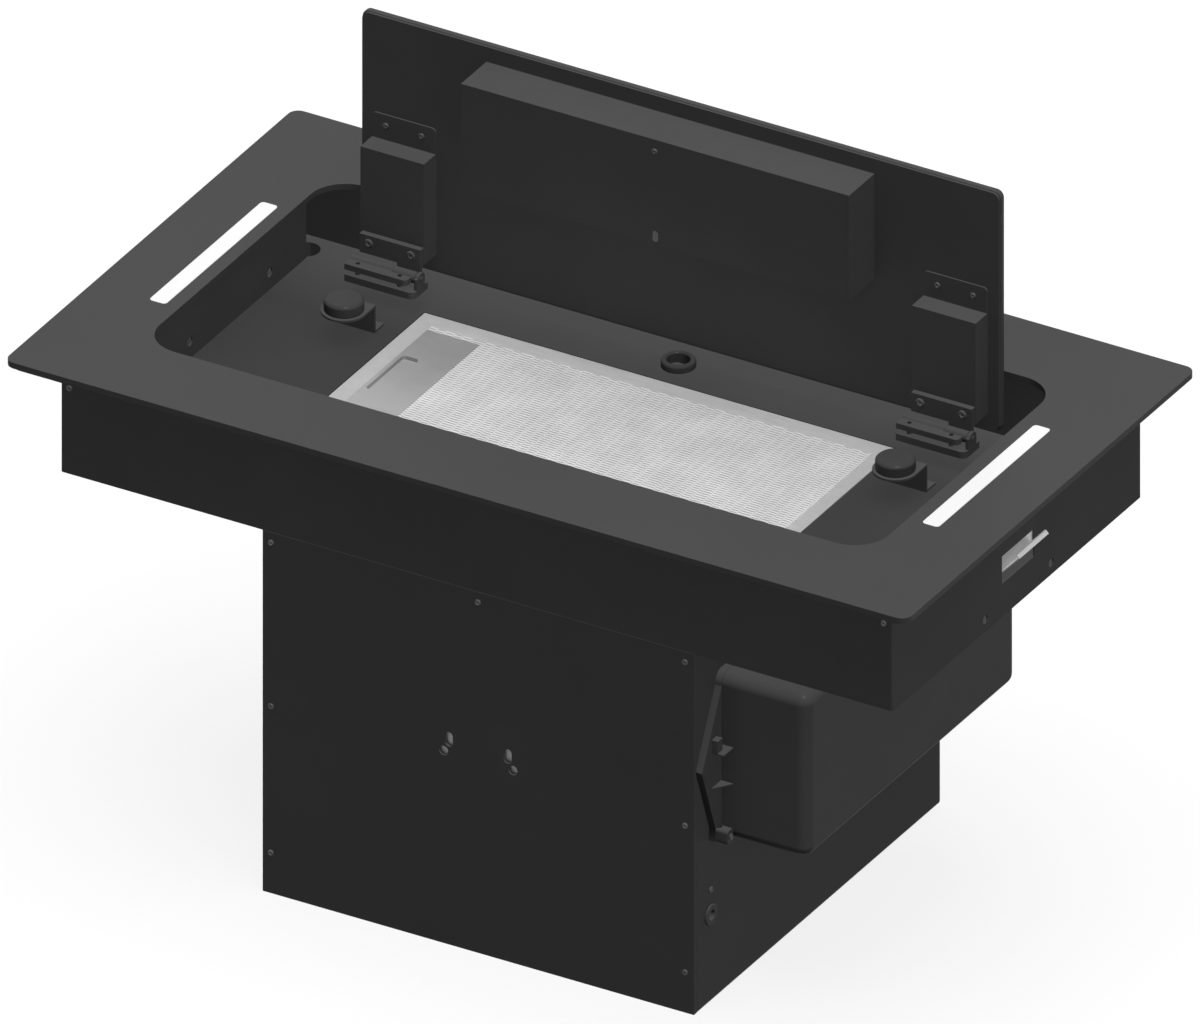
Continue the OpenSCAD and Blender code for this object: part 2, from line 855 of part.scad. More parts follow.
// Bracket that carries a rubber stop above the tray
module bumper_bracket_right() {
  tab_r = bumper_bracket_w / 2;
  leg_y = bumper_y + bumper_leg_back;
  color(black_paint)
    translate([hinge_x, 0, 0]) {
      difference() {
        union() {
          bar_z(0, bumper_y, [bumper_z - bumper_tab_t, bumper_z], tab_r);
          block([-tab_r, tab_r], [bumper_y, leg_y], [bumper_z - bumper_tab_t, bumper_z]);
        }
        bar_z(0, bumper_y, [bumper_z - bumper_tab_t - cut, bumper_z + cut],
          screw_r + screw_gap);
      }
      block([-tab_r, tab_r], [leg_y - bumper_tab_t, leg_y], [tray_z, bumper_z]);
      block([-tab_r, tab_r], [leg_y, leg_y + bumper_foot_d],
        [tray_z, tray_z + bumper_tab_t]);
    }
}

module bumper_bracket_left() {
  left_side()
    bumper_bracket_right();
}

// Rubber stop that the closed flap rests on, with its stud through the bracket
module bumper_right() {
  color(rubber)
    translate([hinge_x, bumper_y, bumper_z])
      rotate_extrude()
        polygon([
          [0, -bumper_tab_t],
          [screw_r, -bumper_tab_t],
          [screw_r, 0],
          [bumper_r, 0],
          [bumper_r, bumper_h - bumper_edge_r],
          [bumper_r - bumper_edge_r, bumper_h],
          [0, bumper_h]
        ]);
}

module bumper_left() {
  left_side()
    bumper_right();
}

// The two hinges are alike and not mirrored: each one is drawn at its left end
hinge_ends = [-hinge_x - hinge_w / 2, hinge_x - hinge_w / 2];
moving_from = hinge_w - cheek_t - washer_t - side_gap - knuckle_l;
moving_to = moving_from + knuckle_l;

// Outline of a hinge base or fixed leaf seen from above, with one round corner
module leaf_outline(w, front, back, r) {
  difference() {
    translate([0, front])
      square([w, back - front]);
    translate([w - r, front])
      square(r);
  }
  translate([w - r, front + r])
    circle(r);
}

// Hinge base: plate, cheek that holds the pin, spacers, leg and foot on the tray
module hinge_base(x) {
  front = axis_y - leaf_reach;
  back = axis_y + base_back;
  leaf_low = axis_z - leaf_half;
  base_top = base_z + base_t;
  color(black_paint)
    translate([x, 0, 0])
      difference() {
        union() {
          translate([0, 0, base_z])
            linear_extrude(base_t)
              leaf_outline(hinge_w, front, back, base_corner_r);
          block([hinge_w - cheek_t, hinge_w], [front + base_corner_r, axis_y],
            [base_top, axis_z + leaf_half]);
          block([hinge_w - cheek_t, hinge_w], [axis_y - cheek_r, axis_y + cheek_r],
            [base_top, axis_z]);
          bar_x([hinge_w - cheek_t, hinge_w], axis_y, axis_z, cheek_r);
          for (spot = leaf_holes)
            bar_z(spot, axis_y - leaf_hole_front, [base_top, leaf_low], leaf_hole_r);
          block([0, base_leg_w], [back - base_leg_t, back], [tray_z, base_z]);
          block([0, base_leg_w], [back, back + base_foot_d],
            [tray_z, tray_z + base_leg_t]);
        }
        bar_x([hinge_w - cheek_t - cut, hinge_w + cut], axis_y, axis_z,
          hinge_pin_r + running_gap);
      }
}

module hinge_base_left() {
  hinge_base(hinge_ends[0]);
}

module hinge_base_right() {
  hinge_base(hinge_ends[1]);
}

// Fixed leaf with its knuckle and two screw holes, lying on the base's spacers
module hinge_fixed_leaf(x) {
  front = axis_y - leaf_reach;
  knuckle_to = moving_from - side_gap;
  color(black_paint)
    translate([x, 0, 0])
      difference() {
        union() {
          translate([0, 0, axis_z - leaf_half])
            linear_extrude(leaf_t)
              leaf_outline(leaf_w, front, axis_y - knuckle_r - side_gap, leaf_corner_r);
          block([0, knuckle_to], [front, axis_y],
            [axis_z - leaf_half, axis_z + leaf_half]);
          bar_x([0, knuckle_to], axis_y, axis_z, fixed_knuckle_r);
        }
        bar_x([-cut, knuckle_to + cut], axis_y, axis_z, hinge_pin_r + running_gap);
        for (spot = leaf_holes)
          translate([spot, axis_y - leaf_hole_front, axis_z + leaf_half - leaf_hole_r])
            cylinder(h = leaf_hole_r + cut, r1 = 0, r2 = leaf_hole_r + cut);
      }
}

module hinge_fixed_leaf_left() {
  hinge_fixed_leaf(hinge_ends[0]);
}

module hinge_fixed_leaf_right() {
  hinge_fixed_leaf(hinge_ends[1]);
}

// Hinge pins
module hinge_pins() {
  color(stainless)
    for (x = hinge_ends)
      bar_x([x, x + hinge_w + screw_head_h / 2], axis_y, axis_z, hinge_pin_r);
}

// Spring washers between the moving knuckle and the cheek, which hold the flap still
module friction_washers() {
  color(zinc)
    for (x = hinge_ends)
      difference() {
        bar_x([x + moving_to + side_gap, x + moving_to + side_gap + washer_t], axis_y,
          axis_z, washer_r);
        bar_x([x + moving_to - cut, x + hinge_w], axis_y, axis_z,
          hinge_pin_r + running_gap);
      }
}

// Ledge under the tray that the filter sits in
module filter_ledge() {
  outer_l = filter_l + 2 * ledge_t;
  outer_d = filter_d + 2 * ledge_t;
  low = filter_z - ledge_t;
  color(zinc)
    translate([0, filter_shift_y, 0])
      difference() {
        union() {
          block([-outer_l / 2, outer_l / 2], [-outer_d / 2, outer_d / 2],
            [low, tray_under_z]);
          block([-outer_l / 2 - ledge_flange_w, outer_l / 2 + ledge_flange_w],
            [-outer_d / 2 - ledge_flange_w, outer_d / 2 + ledge_flange_w],
            [tray_under_z - ledge_t, tray_under_z]);
        }
        block([-filter_l / 2, filter_l / 2], [-filter_d / 2, filter_d / 2],
          [filter_z, tray_under_z + cut]);
        block([-filter_l / 2 + ledge_lip, filter_l / 2 - ledge_lip],
          [-filter_d / 2 + ledge_lip, filter_d / 2 - ledge_lip], [low - cut, filter_z + cut]);
      }
}

// Lower case: left, right and rear walls with flanges for the panels
module lower_case() {
  front = case_front + panel_fold + fit_gap;
  rail_low = lower_h - 2 * flange_w;
  color(black_paint)
    difference() {
      union() {
        for (x = [lower_left, lower_in_right])
          block([x, x + sheet_t], [front, lower_back], [sheet_t, lower_h]);
        block([lower_left, lower_right], [lower_back - sheet_t, lower_back],
          [sheet_t, lower_h]);
        for (x = [lower_in_left, lower_in_right - sheet_t])
          block([x, x + sheet_t], [panel_in, front + flange_w], [sheet_t, lower_h]);
        for (x = [lower_in_left, lower_in_right - flange_w])
          block([x, x + flange_w], [panel_in, panel_in + sheet_t], [sheet_t, lower_h]);
        block([lower_in_left, lower_in_right], [panel_in, panel_in + sheet_t],
          [rail_low, lower_h]);
        for (x = [lower_in_left, lower_in_right - flange_w])
          block([x, x + flange_w], [front, lower_back], [lower_h - sheet_t, lower_h]);
      }
      for (place = panel_screws)
        hole_y(place[0], case_front, place[1]);
      bar_y(blower_x, [lower_back - sheet_t - cut, lower_back + cut], spigot_z,
        spigot_r + side_gap);
      for (turn = [45:90:315])
        hole_y(blower_x + spigot_screw_r * cos(turn), lower_back,
          spigot_z + spigot_screw_r * sin(turn));
      bar_x([lower_in_right - 2 * sheet_t, lower_right + cut], gland_y, gland_up,
        gland_r + running_gap);
      hole_x(lower_right, gland_y, gland_up + earth_up);
    }
}

// Front panel with folded edges and the access holes to the blower bracket
module front_panel() {
  top = lower_h - fit_gap;
  color(black_paint)
    difference() {
      union() {
        block([lower_left, lower_right], [case_front, panel_in], [0, top]);
        for (x = [lower_left, lower_in_right])
          block([x, x + sheet_t], [case_front, case_front + panel_fold], [0, top]);
      }
      for (place = panel_screws)
        hole_y(place[0], case_front, place[1]);
      for (side = [-1, 1]) {
        bar_y(lower_shift_x + side * front_hole_x, [case_front - cut, panel_in + cut],
          front_hole_z, front_hole_r);
        translate([lower_shift_x + side * front_slot_x, 0, front_slot_z])
          facing_front(panel_in + cut, sheet_t + 2 * cut)
            rounded_rect(front_slot_w, front_slot_h, front_slot_w / 2 - fit_gap);
      }
    }
}

// Bottom panel that the case stands on
module bottom_panel() {
  fold_end = case_front + panel_fold + fit_gap;
  color(black_paint) {
    block([lower_left, lower_right], [fold_end, lower_back], [0, sheet_t]);
    block([lower_in_left + fit_gap, lower_in_right - fit_gap], [panel_in, fold_end],
      [0, sheet_t]);
  }
}

// All the fixed pan-head screws: cases, spigot, earth and cable clamp
module case_screws() {
  color(stainless) {
    for (place = concat(panel_screws, case_screw_places))
      screw_front(place[0], case_front, place[1]);
    for (turn = [45:90:315])
      screw_back(blower_x + spigot_screw_r * cos(turn), wall_out + spigot_flange_t,
        spigot_z + spigot_screw_r * sin(turn));
    screw_right(lower_right, gland_y, gland_up + earth_up);
    screw_right(elec_x + elec_base_t + clamp_t, clamp_y, clamp_z);
  }
}

// One quarter of a round shape about [y, z], towards the given signs
module quarter(centre, r, sy, sz) {
  intersection() {
    translate(centre)
      circle(r);
    translate([centre[0] + (sy < 0 ? -r : 0), centre[1] + (sz < 0 ? -r : 0)])
      square(r);
  }
}

// Air space of the scroll seen from the right: three quarter rounds, each larger by one
// step, and the straight outlet to the back. It can be grown all round but at the outlet
module scroll_shape(grow) {
  upper = [fan_y - half_step, fan_z + half_step];
  front = [fan_y - half_step, fan_z - half_step];
  lower = [fan_y + half_step, fan_z - half_step];
  body_rear = upper[0] + scroll_r + grow;
  quarter(upper, scroll_r + grow, 1, 1);
  quarter(front, scroll_r + scroll_step + grow, -1, 1);
  quarter(lower, scroll_r + 2 * scroll_step + grow, -1, -1);
  translate([front[0], outlet_top])
    square([body_rear - front[0], upper[1] - outlet_top]);
  translate([lower[0], outlet_low - grow])
    square([lower_back - sheet_t - lower[0], outlet + 2 * grow]);
}

// Galvanised scroll with its left side plate
module blower_housing() {
  half = outlet / 2;
  color(zinc) {
    facing_side(blower_x - half, outlet)
      difference() {
        scroll_shape(sheet_t);
        scroll_shape(0);
      }
    facing_side(blower_x - half - sheet_t, sheet_t)
      difference() {
        scroll_shape(sheet_t + scroll_rim);
        translate([fan_y, fan_z])
          circle(inlet_r);
      }
    inlet_mouth(blower_x - half - sheet_t - inlet_lip);
  }
}

// Short collar round an inlet, from x to the right
module inlet_mouth(x) {
  difference() {
    bar_x([x, x + inlet_lip], fan_y, fan_z, inlet_r + sheet_t);
    bar_x([x - cut, x + inlet_lip + cut], fan_y, fan_z, inlet_r);
  }
}

// Right side plate of the scroll, with the other inlet
module blower_cover() {
  face = blower_x + outlet / 2;
  color(zinc) {
    facing_side(face, sheet_t)
      difference() {
        scroll_shape(sheet_t + scroll_rim);
        translate([fan_y, fan_z])
          circle(inlet_r);
      }
    inlet_mouth(face + sheet_t);
  }
}

// U-shaped bracket that ties the scroll to the front, seen through the panel's holes
module blower_bracket() {
  half = outlet / 2 + sheet_t;
  top = bracket_low + bracket_h;
  color(zinc) {
    block([blower_x - half - sheet_t, blower_x + half + sheet_t],
      [panel_in + sheet_t, panel_in + 2 * sheet_t - side_gap], [bracket_low, top]);
    for (x = [blower_x - half - sheet_t, blower_x + half])
      block([x, x + sheet_t], [panel_in + sheet_t, panel_in + bracket_d],
        [bracket_low, top]);
  }
}

// Motor on the left of the scroll, with the bearing bore for the shaft
module blower_motor() {
  back = motor_face - motor_l;
  color(zinc)
    difference() {
      union() {
        bar_x([back, motor_face], fan_y, fan_z, motor_r);
        bar_x([back - motor_cap_l, back], fan_y, fan_z, motor_r * motor_cap_r_share);
      }
      bar_x([motor_face - shaft_in_motor - cut, motor_face + cut], fan_y, fan_z,
        shaft_r + running_gap);
    }
}

// Three-armed plate that hangs the motor in front of the left inlet
module motor_mount() {
  arm_end = inlet_r + 2 * sheet_t + 2 * mount_boss_r + side_gap;
  color(zinc) {
    difference() {
      union() {
        bar_x([motor_face, motor_face + sheet_t], fan_y, fan_z, motor_r);
        for (turn = [0:120:240])
          translate([motor_face, fan_y, fan_z])
            rotate([turn + mount_turn, 0, 0])
              block([0, sheet_t], [0, arm_end], [-mount_arm_w / 2, mount_arm_w / 2]);
      }
      bar_x([motor_face - cut, motor_face + sheet_t + cut], fan_y, fan_z, mount_hole_r);
    }
    for (turn = [0:120:240])
      translate([motor_face, fan_y, fan_z])
        rotate([turn + mount_turn, 0, 0])
          bar_x([0, sheet_t + mount_standoff], arm_end - mount_boss_r, 0, mount_boss_r);
  }
}

// Twin-inlet impeller
module impeller() {
  color(aluminium)
    translate([blower_x, fan_y, fan_z])
      difference() {
        union() {
          bar_x([-ring_t / 2, ring_t / 2], 0, 0, impeller_r - ring_t);
          bar_x([-hub_half, hub_half], 0, 0, hub_r);
          for (end = [-impeller_half, impeller_half - ring_t])
            difference() {
              bar_x([end, end + ring_t], 0, 0, impeller_r);
              bar_x([end - cut, end + ring_t + cut], 0, 0, impeller_r - blade_d);
            }
          for (i = [0:blade_count - 1])
            rotate([i * 360 / blade_count, 0, 0])
              translate([0, impeller_r - ring_t, 0])
                rotate([blade_tilt, 0, 0])
                  block([-impeller_half, impeller_half], [ring_t - blade_d, 0],
                    [-blade_t / 2, blade_t / 2]);
        }
        bar_x([-hub_half - cut, hub_half + cut], 0, 0, shaft_r + running_gap);
      }
}

// Fan shaft from the motor's bearing to the impeller's hub
module fan_shaft() {
  color(stainless)
    bar_x([motor_face - shaft_in_motor, blower_x + hub_half + shaft_end_l], fan_y,
      fan_z, shaft_r);
}

// Round duct spigot on the back, with the holes for the damper pin
module duct_spigot() {
  bore = spigot_r - spigot_t;
  color(black_plastic)
    difference() {
      union() {
        bar_y(blower_x, [spigot_start, spigot_end], spigot_z, spigot_r);
        bar_y(blower_x, [wall_out, wall_out + spigot_flange_t], spigot_z,
          spigot_r + spigot_flange_w);
      }
      bar_y(blower_x, [spigot_start - cut, spigot_end + cut], spigot_z, bore);
      bar_z(blower_x, damper_y, [spigot_z - spigot_r - cut, spigot_z + spigot_r + cut],
        damper_pin_r + running_gap);
      for (turn = [45:90:315])
        hole_y(blower_x + spigot_screw_r * cos(turn), wall_out,
          spigot_z + spigot_screw_r * sin(turn));
    }
}

// Upright pin that both damper flaps turn on
module damper_pin() {
  reach = spigot_r - spigot_t / 2;
  color(stainless)
    bar_z(blower_x, damper_y, [spigot_z - reach, spigot_z + reach], damper_pin_r);
}

// Half-round damper flap: its barrels are given as pairs of heights from the middle
module damper(side, barrels) {
  r = spigot_r - spigot_t - damper_gap;
  stand_off = damper_barrel_r + damper_barrel_gap;
  color(black_plastic)
    translate([blower_x, damper_y, spigot_z])
      difference() {
        union() {
          intersection() {
            facing_front(damper_t / 2, damper_t)
              circle(r);
            block(side > 0 ? [stand_off, r] : [-r, -stand_off], [-damper_t, damper_t],
              [-r, r]);
          }
          for (span = barrels) {
            bar_z(0, 0, span, damper_barrel_r);
            block(side > 0 ? [0, stand_off + cut] : [-stand_off - cut, 0],
              [-damper_t / 2, damper_t / 2], span);
          }
        }
        bar_z(0, 0, [-r, r], damper_pin_r + running_gap);
      }
}

module damper_left() {
  damper(-1, [
    [damper_barrel_inner + damper_barrel_gap, damper_barrel_outer],
    [-damper_barrel_outer, -damper_barrel_inner - damper_barrel_gap]
  ]);
}

module damper_right() {
  damper(1, [[-damper_barrel_inner, damper_barrel_inner]]);
}

// Outline of the electronics base in Y and Z: the box's foot, the nose that leads the
// cables in at the front, and the shelf for the cable clamp
module elec_base_shape() {
  mid = [(elec_front + elec_rear) / 2, (elec_low + elec_top) / 2];
  translate(mid)
    rounded_rect(elec_l, elec_h, elec_r);
  polygon([
    [elec_front + elec_r, elec_low + elec_h * nose_high_share],
    [elec_front, elec_low + elec_h * nose_high_share],
    [elec_front - nose_reach, elec_low + elec_h * nose_mid_share],
    [clamp_front, elec_low + clamp_h],
    [elec_front + elec_r, elec_low + clamp_h]
  ]);
  translate([clamp_front, elec_low])
    square([elec_front + elec_r - clamp_front, clamp_h]);
}

// Moulded base of the electronics box, with board posts and the ribs of the cable pocket
module electronics_base() {
  face = elec_x + elec_base_t;
  mid_z = elec_low + elec_h * nose_mid_share;
  rib_y = elec_front - nose_reach / 2;
  color(black_plastic) {
    facing_side(elec_x, elec_base_t)
      elec_base_shape();
    for (y = [elec_front + board_inset, elec_rear - board_inset],
        z = [elec_low + board_inset, elec_top - board_inset])
      bar_x([face, board_x], y, z, board_post_r);
    block([face, face + pocket_rib_h], [rib_y, elec_front - seat_gap],
      [mid_z + pocket_rib_h, mid_z + pocket_rib_h + pocket_rib_t]);
    block([face, face + pocket_rib_h / 2], [rib_y, rib_y + nose_reach / 4],
      [mid_z + pocket_rib_h + pocket_rib_t, mid_z + 2 * pocket_rib_h + pocket_rib_t]);
    translate([0, 0, mid_z - 2 * pocket_rib_h])
      linear_extrude(pocket_rib_t)
        polygon([
          [face, rib_y],
          [face + pocket_rib_h, elec_front - seat_gap],
          [face, elec_front - seat_gap]
        ]);
  }
}

// Moulded cover of the electronics box, open towards the base
module electronics_cover() {
  face = elec_x + elec_base_t;
  depth = elec_out - elec_base_t;
  color(black_plastic)
    difference() {
      cover_body(face, depth, 0);
      cover_body(face - cut, depth + cut - elec_wall, elec_wall);
    }
}

// Block with round edges on its outer face, drawn in by a margin all round
module cover_body(x, depth, margin) {
  r = elec_r - margin;
  mid_y = (elec_front + elec_rear) / 2;
  mid_z = (elec_low + elec_top) / 2;
  ys = [elec_front + elec_r, elec_rear - elec_r];
  zs = [elec_low + elec_r, elec_top - elec_r];
  facing_side(x, depth - r)
    translate([mid_y, mid_z])
      rounded_rect(elec_l - 2 * margin, elec_h - 2 * margin, r);
  block([x, x + depth], ys, zs);
  for (y = ys)
    bar_z(x + depth - r, y, zs, r);
  for (z = zs)
    bar_y(x + depth - r, ys, z, r);
  for (y = ys, z = zs)
    translate([x + depth - r, y, z])
      sphere(r);
}

// Control board with its transformer, capacitor, relays and terminals
module circuit_board() {
  y0 = elec_front + board_inset - board_post_r;
  y1 = elec_rear - board_inset + board_post_r;
  z0 = elec_low + board_inset - board_post_r;
  z1 = elec_top - board_inset + board_post_r;
  top = board_x + board_t;
  span = y1 - y0;
  rise = z1 - z0;
  color(board_green)
    block([board_x, top], [y0, y1], [z0, z1]);
  color(black_plastic) {
    block([top, top + rise * coil_shares[0]],
      [y0 + span * coil_shares[1], y0 + span * coil_shares[2]],
      [z0 + rise * coil_shares[3], z0 + rise * coil_shares[4]]);
    bar_x([top, top + rise * can_shares[0]], y0 + span * can_shares[1], z0 + rise / 2,
      rise * can_shares[2]);
    for (i = [0:relay_count - 1])
      block([top, top + rise * relay_shares[0]],
        [y0 + span * (relay_shares[1] + relay_pitch_share * i),
          y0 + span * (relay_shares[2] + relay_pitch_share * i)],
        [z0 + rise * relay_shares[3], z0 + rise * relay_shares[4]]);
    block([top, top + rise * plug_shares[0]],
      [y0 + span * plug_shares[1], y0 + span * plug_shares[2]],
      [z0 + rise * plug_shares[3], z0 + rise * plug_shares[4]]);
  }
}

// Clamp that grips the supply cable in a groove on the base's shelf
module cable_clamp() {
  face = elec_x + elec_base_t;
  color(black_plastic)
    difference() {
      facing_side(face, clamp_t)
        translate([clamp_y - seat_gap / 2, clamp_z])
          rounded_rect(clamp_reach - seat_gap, clamp_h, clamp_edge_r);
      bar_z(face, clamp_y, [elec_low - cut, elec_low + clamp_h + cut], clamp_groove_r);
      hole_x(face + clamp_t, clamp_y, clamp_z);
    }
}

// Cable gland in the right wall of the lower case
module cable_gland() {
  nut_end = lower_in_right - gland_nut_t;
  color(black_plastic)
    difference() {
      union() {
        bar_x([lower_right, lower_right + gland_flange_t], gland_y, gland_up,
          gland_flange_r);
        bar_x([nut_end, lower_right], gland_y, gland_up, gland_r);
        bar_x([nut_end, lower_in_right], gland_y, gland_up, gland_nut_r);
      }
      bar_x([nut_end - cut, lower_right + gland_flange_t + cut], gland_y, gland_up,
        gland_bore_r);
    }
}

// Fixed legs of the side springs, upright on the inside of the case's walls
module spring_plates() {
  half = spring_slot_w / 2 - spring_side_gap;
  color(stainless)
    for (side = [-1, 1])
      block(side > 0 ? [spring_x - spring_t, spring_x] : [-spring_x, spring_t - spring_x],
        [spring_y - half, spring_y + half], [spring_root_z, slot_top + spring_plate_top]);
}

// Free leg of a side spring: a bend round the leg's hinge axis, a slope up and out of
// the slot, and a lip
module side_spring_right() {
  half = spring_slot_w / 2 - spring_side_gap;
  mid = spring_x + spring_bend_r;
  out_r = spring_bend_r + spring_t;
  tip = case_x + spring_reach;
  run = tip - mid;
  away = norm([run, spring_rise]);
  turn = atan2(spring_rise, run) - acos(out_r / away);
  level_t = spring_t / cos(turn);
  lip = tip - spring_lip_in;
  lip_top = spring_rise + spring_lip_h;
  far = 2 * out_r;
  color(stainless)
    intersection() {
      translate([0, 0, spring_root_z])
        facing_front(spring_y + half, 2 * half) {
          polygon([
            [mid + out_r * cos(turn), out_r * sin(turn)],
            [tip, spring_rise],
            [lip, lip_top],
            [lip - level_t, lip_top],
            [tip - level_t, spring_rise],
            [mid + spring_bend_r * cos(turn), spring_bend_r * sin(turn)],
            [mid + spring_mid_r * cos(turn - bend_lap), spring_mid_r * sin(turn - bend_lap)]
          ]);
          translate([mid, 0])
            difference() {
              circle(out_r);
              circle(spring_bend_r);
              polygon([
                [0, 0],
                [far * cos(turn), far * sin(turn)],
                [far, far],
                [-far, far],
                [-far, 0]
              ]);
            }
        }
      translate([0, spring_y, spring_root_z - far])
        linear_extrude(lip_top + 2 * far)
          polygon([
            [mid - far, -half - cut],
            [case_x, -half - cut],
            [case_x, -half],
            [tip + cut, spring_taper - half],
            [tip + cut, half - spring_taper],
            [case_x, half],
            [case_x, half + cut],
            [mid - far, half + cut]
          ]);
    }
}

module side_spring_left() {
  left_side()
    side_spring_right();
}

// Trapezium prism along Y or X that hollows the filter frame
module rim_pocket() {
  low = tray_z - rim_drop;
  intersection() {
    facing_front(filter_rear, filter_rear - filter_front)
      polygon([
        [filter_left + rim_w, low],
        [filter_right - rim_w, low],
        [filter_right - rim_land, tray_z],
        [filter_right - rim_land, tray_z + cut],
        [filter_left + rim_land, tray_z + cut],
        [filter_left + rim_land, tray_z]
      ]);
    facing_side(filter_left, filter_right - filter_left)
      polygon([
        [filter_front + rim_w, low],
        [filter_rear - rim_w, low],
        [filter_rear - rim_land, tray_z],
        [filter_rear - rim_land, tray_z + cut],
        [filter_front + rim_land, tray_z + cut],
        [filter_front + rim_land, tray_z]
      ]);
  }
}

// The catch's tongue with a gap round it, as a tunnel to the left
module tongue_tunnel(grow) {
  block([filter_left - cut, finger_x + cut],
    [filter_shift_y - tongue_w / 2 - grow, filter_shift_y + tongue_w / 2 + grow],
    [tongue_z - grow, tongue_z + tongue_t + grow]);
}

// Aluminium frame of the grease filter, with its sloping rim
module filter_frame() {
  color(aluminium)
    difference() {
      block([filter_left, filter_right], [filter_front, filter_rear],
        [filter_z, tray_z]);
      rim_pocket();
      block([filter_left + rim_w, filter_right - rim_w],
        [filter_front + rim_w, filter_rear - rim_w], [filter_z - cut, tray_z]);
      tongue_tunnel(catch_gap);
    }
}

// Pack of expanded aluminium mesh in the frame
module filter_mesh() {
  color(aluminium)
    difference() {
      block([filter_left + rim_w, filter_right - rim_w],
        [filter_front + rim_w, filter_rear - rim_w], [mesh_top - mesh_t, mesh_top]);
      block([finger_x - finger_wall - fit_gap, finger_x + pan_l + finger_wall + fit_gap],
        [filter_shift_y - finger_l / 2 - finger_wall - fit_gap,
          filter_shift_y + finger_l / 2 + finger_wall + fit_gap],
        [mesh_top - mesh_t - cut, mesh_top + cut]);
      tongue_tunnel(catch_gap);
    }
}

// Handle plate on the mesh, with a finger recess and a pan below it for the catch
module filter_handle() {
  top = handle_z + handle_t;
  low = finger_floor_z - finger_wall;
  pan_x = finger_x + pan_l / 2;
  color(aluminium)
    difference() {
      union() {
        block([filter_left + rim_w, filter_left + rim_w + handle_plate_w],
          [filter_front + rim_w + handle_plate_margin,
            filter_rear - rim_w - handle_plate_margin], [handle_z, top]);
        translate([pan_x, filter_shift_y, 0])
          plate(pan_l + 2 * finger_wall, finger_l + 2 * finger_wall,
            finger_r + finger_wall, low, top - low);
      }
      translate([finger_x + finger_w / 2, filter_shift_y, 0])
        plate(finger_w, finger_l, finger_r, finger_floor_z, finger_depth + cut);
      translate([pan_x, filter_shift_y, 0])
        plate(pan_l, finger_l, finger_r, finger_floor_z, handle_z - finger_floor_z);
      tongue_tunnel(catch_gap);
    }
}

// Sliding catch: a plate in the recess and a tongue that bears on the ledge
module filter_catch() {
  tip = filter_left - filter_gap * tongue_reach_share;
  color(aluminium) {
    translate([finger_x + finger_w / 2, filter_shift_y, 0])
      plate(finger_w - 2 * catch_gap, finger_l - 2 * catch_gap, finger_r - catch_gap,
        finger_floor_z + catch_gap, catch_t);
    block([tip, finger_x + catch_gap + finger_r],
      [filter_shift_y - tongue_w / 2, filter_shift_y + tongue_w / 2],
      [tongue_z, tongue_z + tongue_t]);
  }
}

// Glass of the flap
module flap_glass() {
  color(black_glass)
    translate([0, 0, flap_low + flap_h / 2])
      facing_front(flap_rear, flap_glass_t)
        rounded_rect(flap_w, flap_h, flap_r);
}

// Steel sheet bonded to the glass of the flap
module flap_backing() {
  color(black_paint)
    difference() {
      translate([0, 0, flap_low + flap_h / 2])
        facing_front(flap_seam, flap_back_t)
          rounded_rect(flap_w - 2 * backing_inset, flap_h - 2 * backing_inset, flap_r);
      for (x = [-hinge_x, hinge_x], side = [-1, 1])
        hole_y(x + side * flange_screw_pitch / 2, flap_front,
          flange_top - flange_screw_down);
    }
}

// Control box on the flap: a sheet pan that opens towards the flap
module flap_box() {
  face = flap_front - flap_box_d;
  half = flap_box_w / 2;
  color(black_paint)
    difference() {
      block([-half, half], [face, flap_front], [box_low, box_top]);
      block([-half + flap_sheet_t, half - flap_sheet_t],
        [face + flap_sheet_t, flap_front + cut],
        [box_low + flap_sheet_t, box_top - flap_sheet_t]);
      hole_y(0, face, box_top - box_screw_down);
      translate([0, 0, box_low + box_slot_up])
        facing_front(face + flap_sheet_t + cut, flap_sheet_t + 2 * cut)
          rounded_rect(box_slot_w, box_slot_h, box_slot_w / 2 - fit_gap);
    }
}

// Board for the touch keys and the lamps, on posts inside the control box
module flap_control_board() {
  y1 = flap_front - control_board_off;
  x1 = flap_box_w / 2 - control_board_inset;
  z0 = box_low + control_board_inset;
  z1 = box_top - control_board_inset;
  color(board_green)
    block([-x1, x1], [y1 - control_board_t, y1], [z0, z1]);
  color(black_plastic) {
    for (x = [-x1 + control_board_off, x1 - control_board_off],
        z = [z0 + control_board_off, z1 - control_board_off])
      bar_y(x, [y1, flap_front], z, screw_head_r);
    for (side = [-1, 0, 1])
      translate([side * x1 / 2, y1 - control_board_t, (z0 + z1) / 2])
        block([-control_chip[0] / 2, control_chip[0] / 2], [-control_chip[1], 0],
          [-control_chip[2] / 2, control_chip[2] / 2]);
  }
}

// Levels of a hinge box
hinge_box_low = axis_z + hinge_box_up;
hinge_box_top = hinge_box_low + hinge_box_h;
flange_top = hinge_box_top + hinge_flange_h;

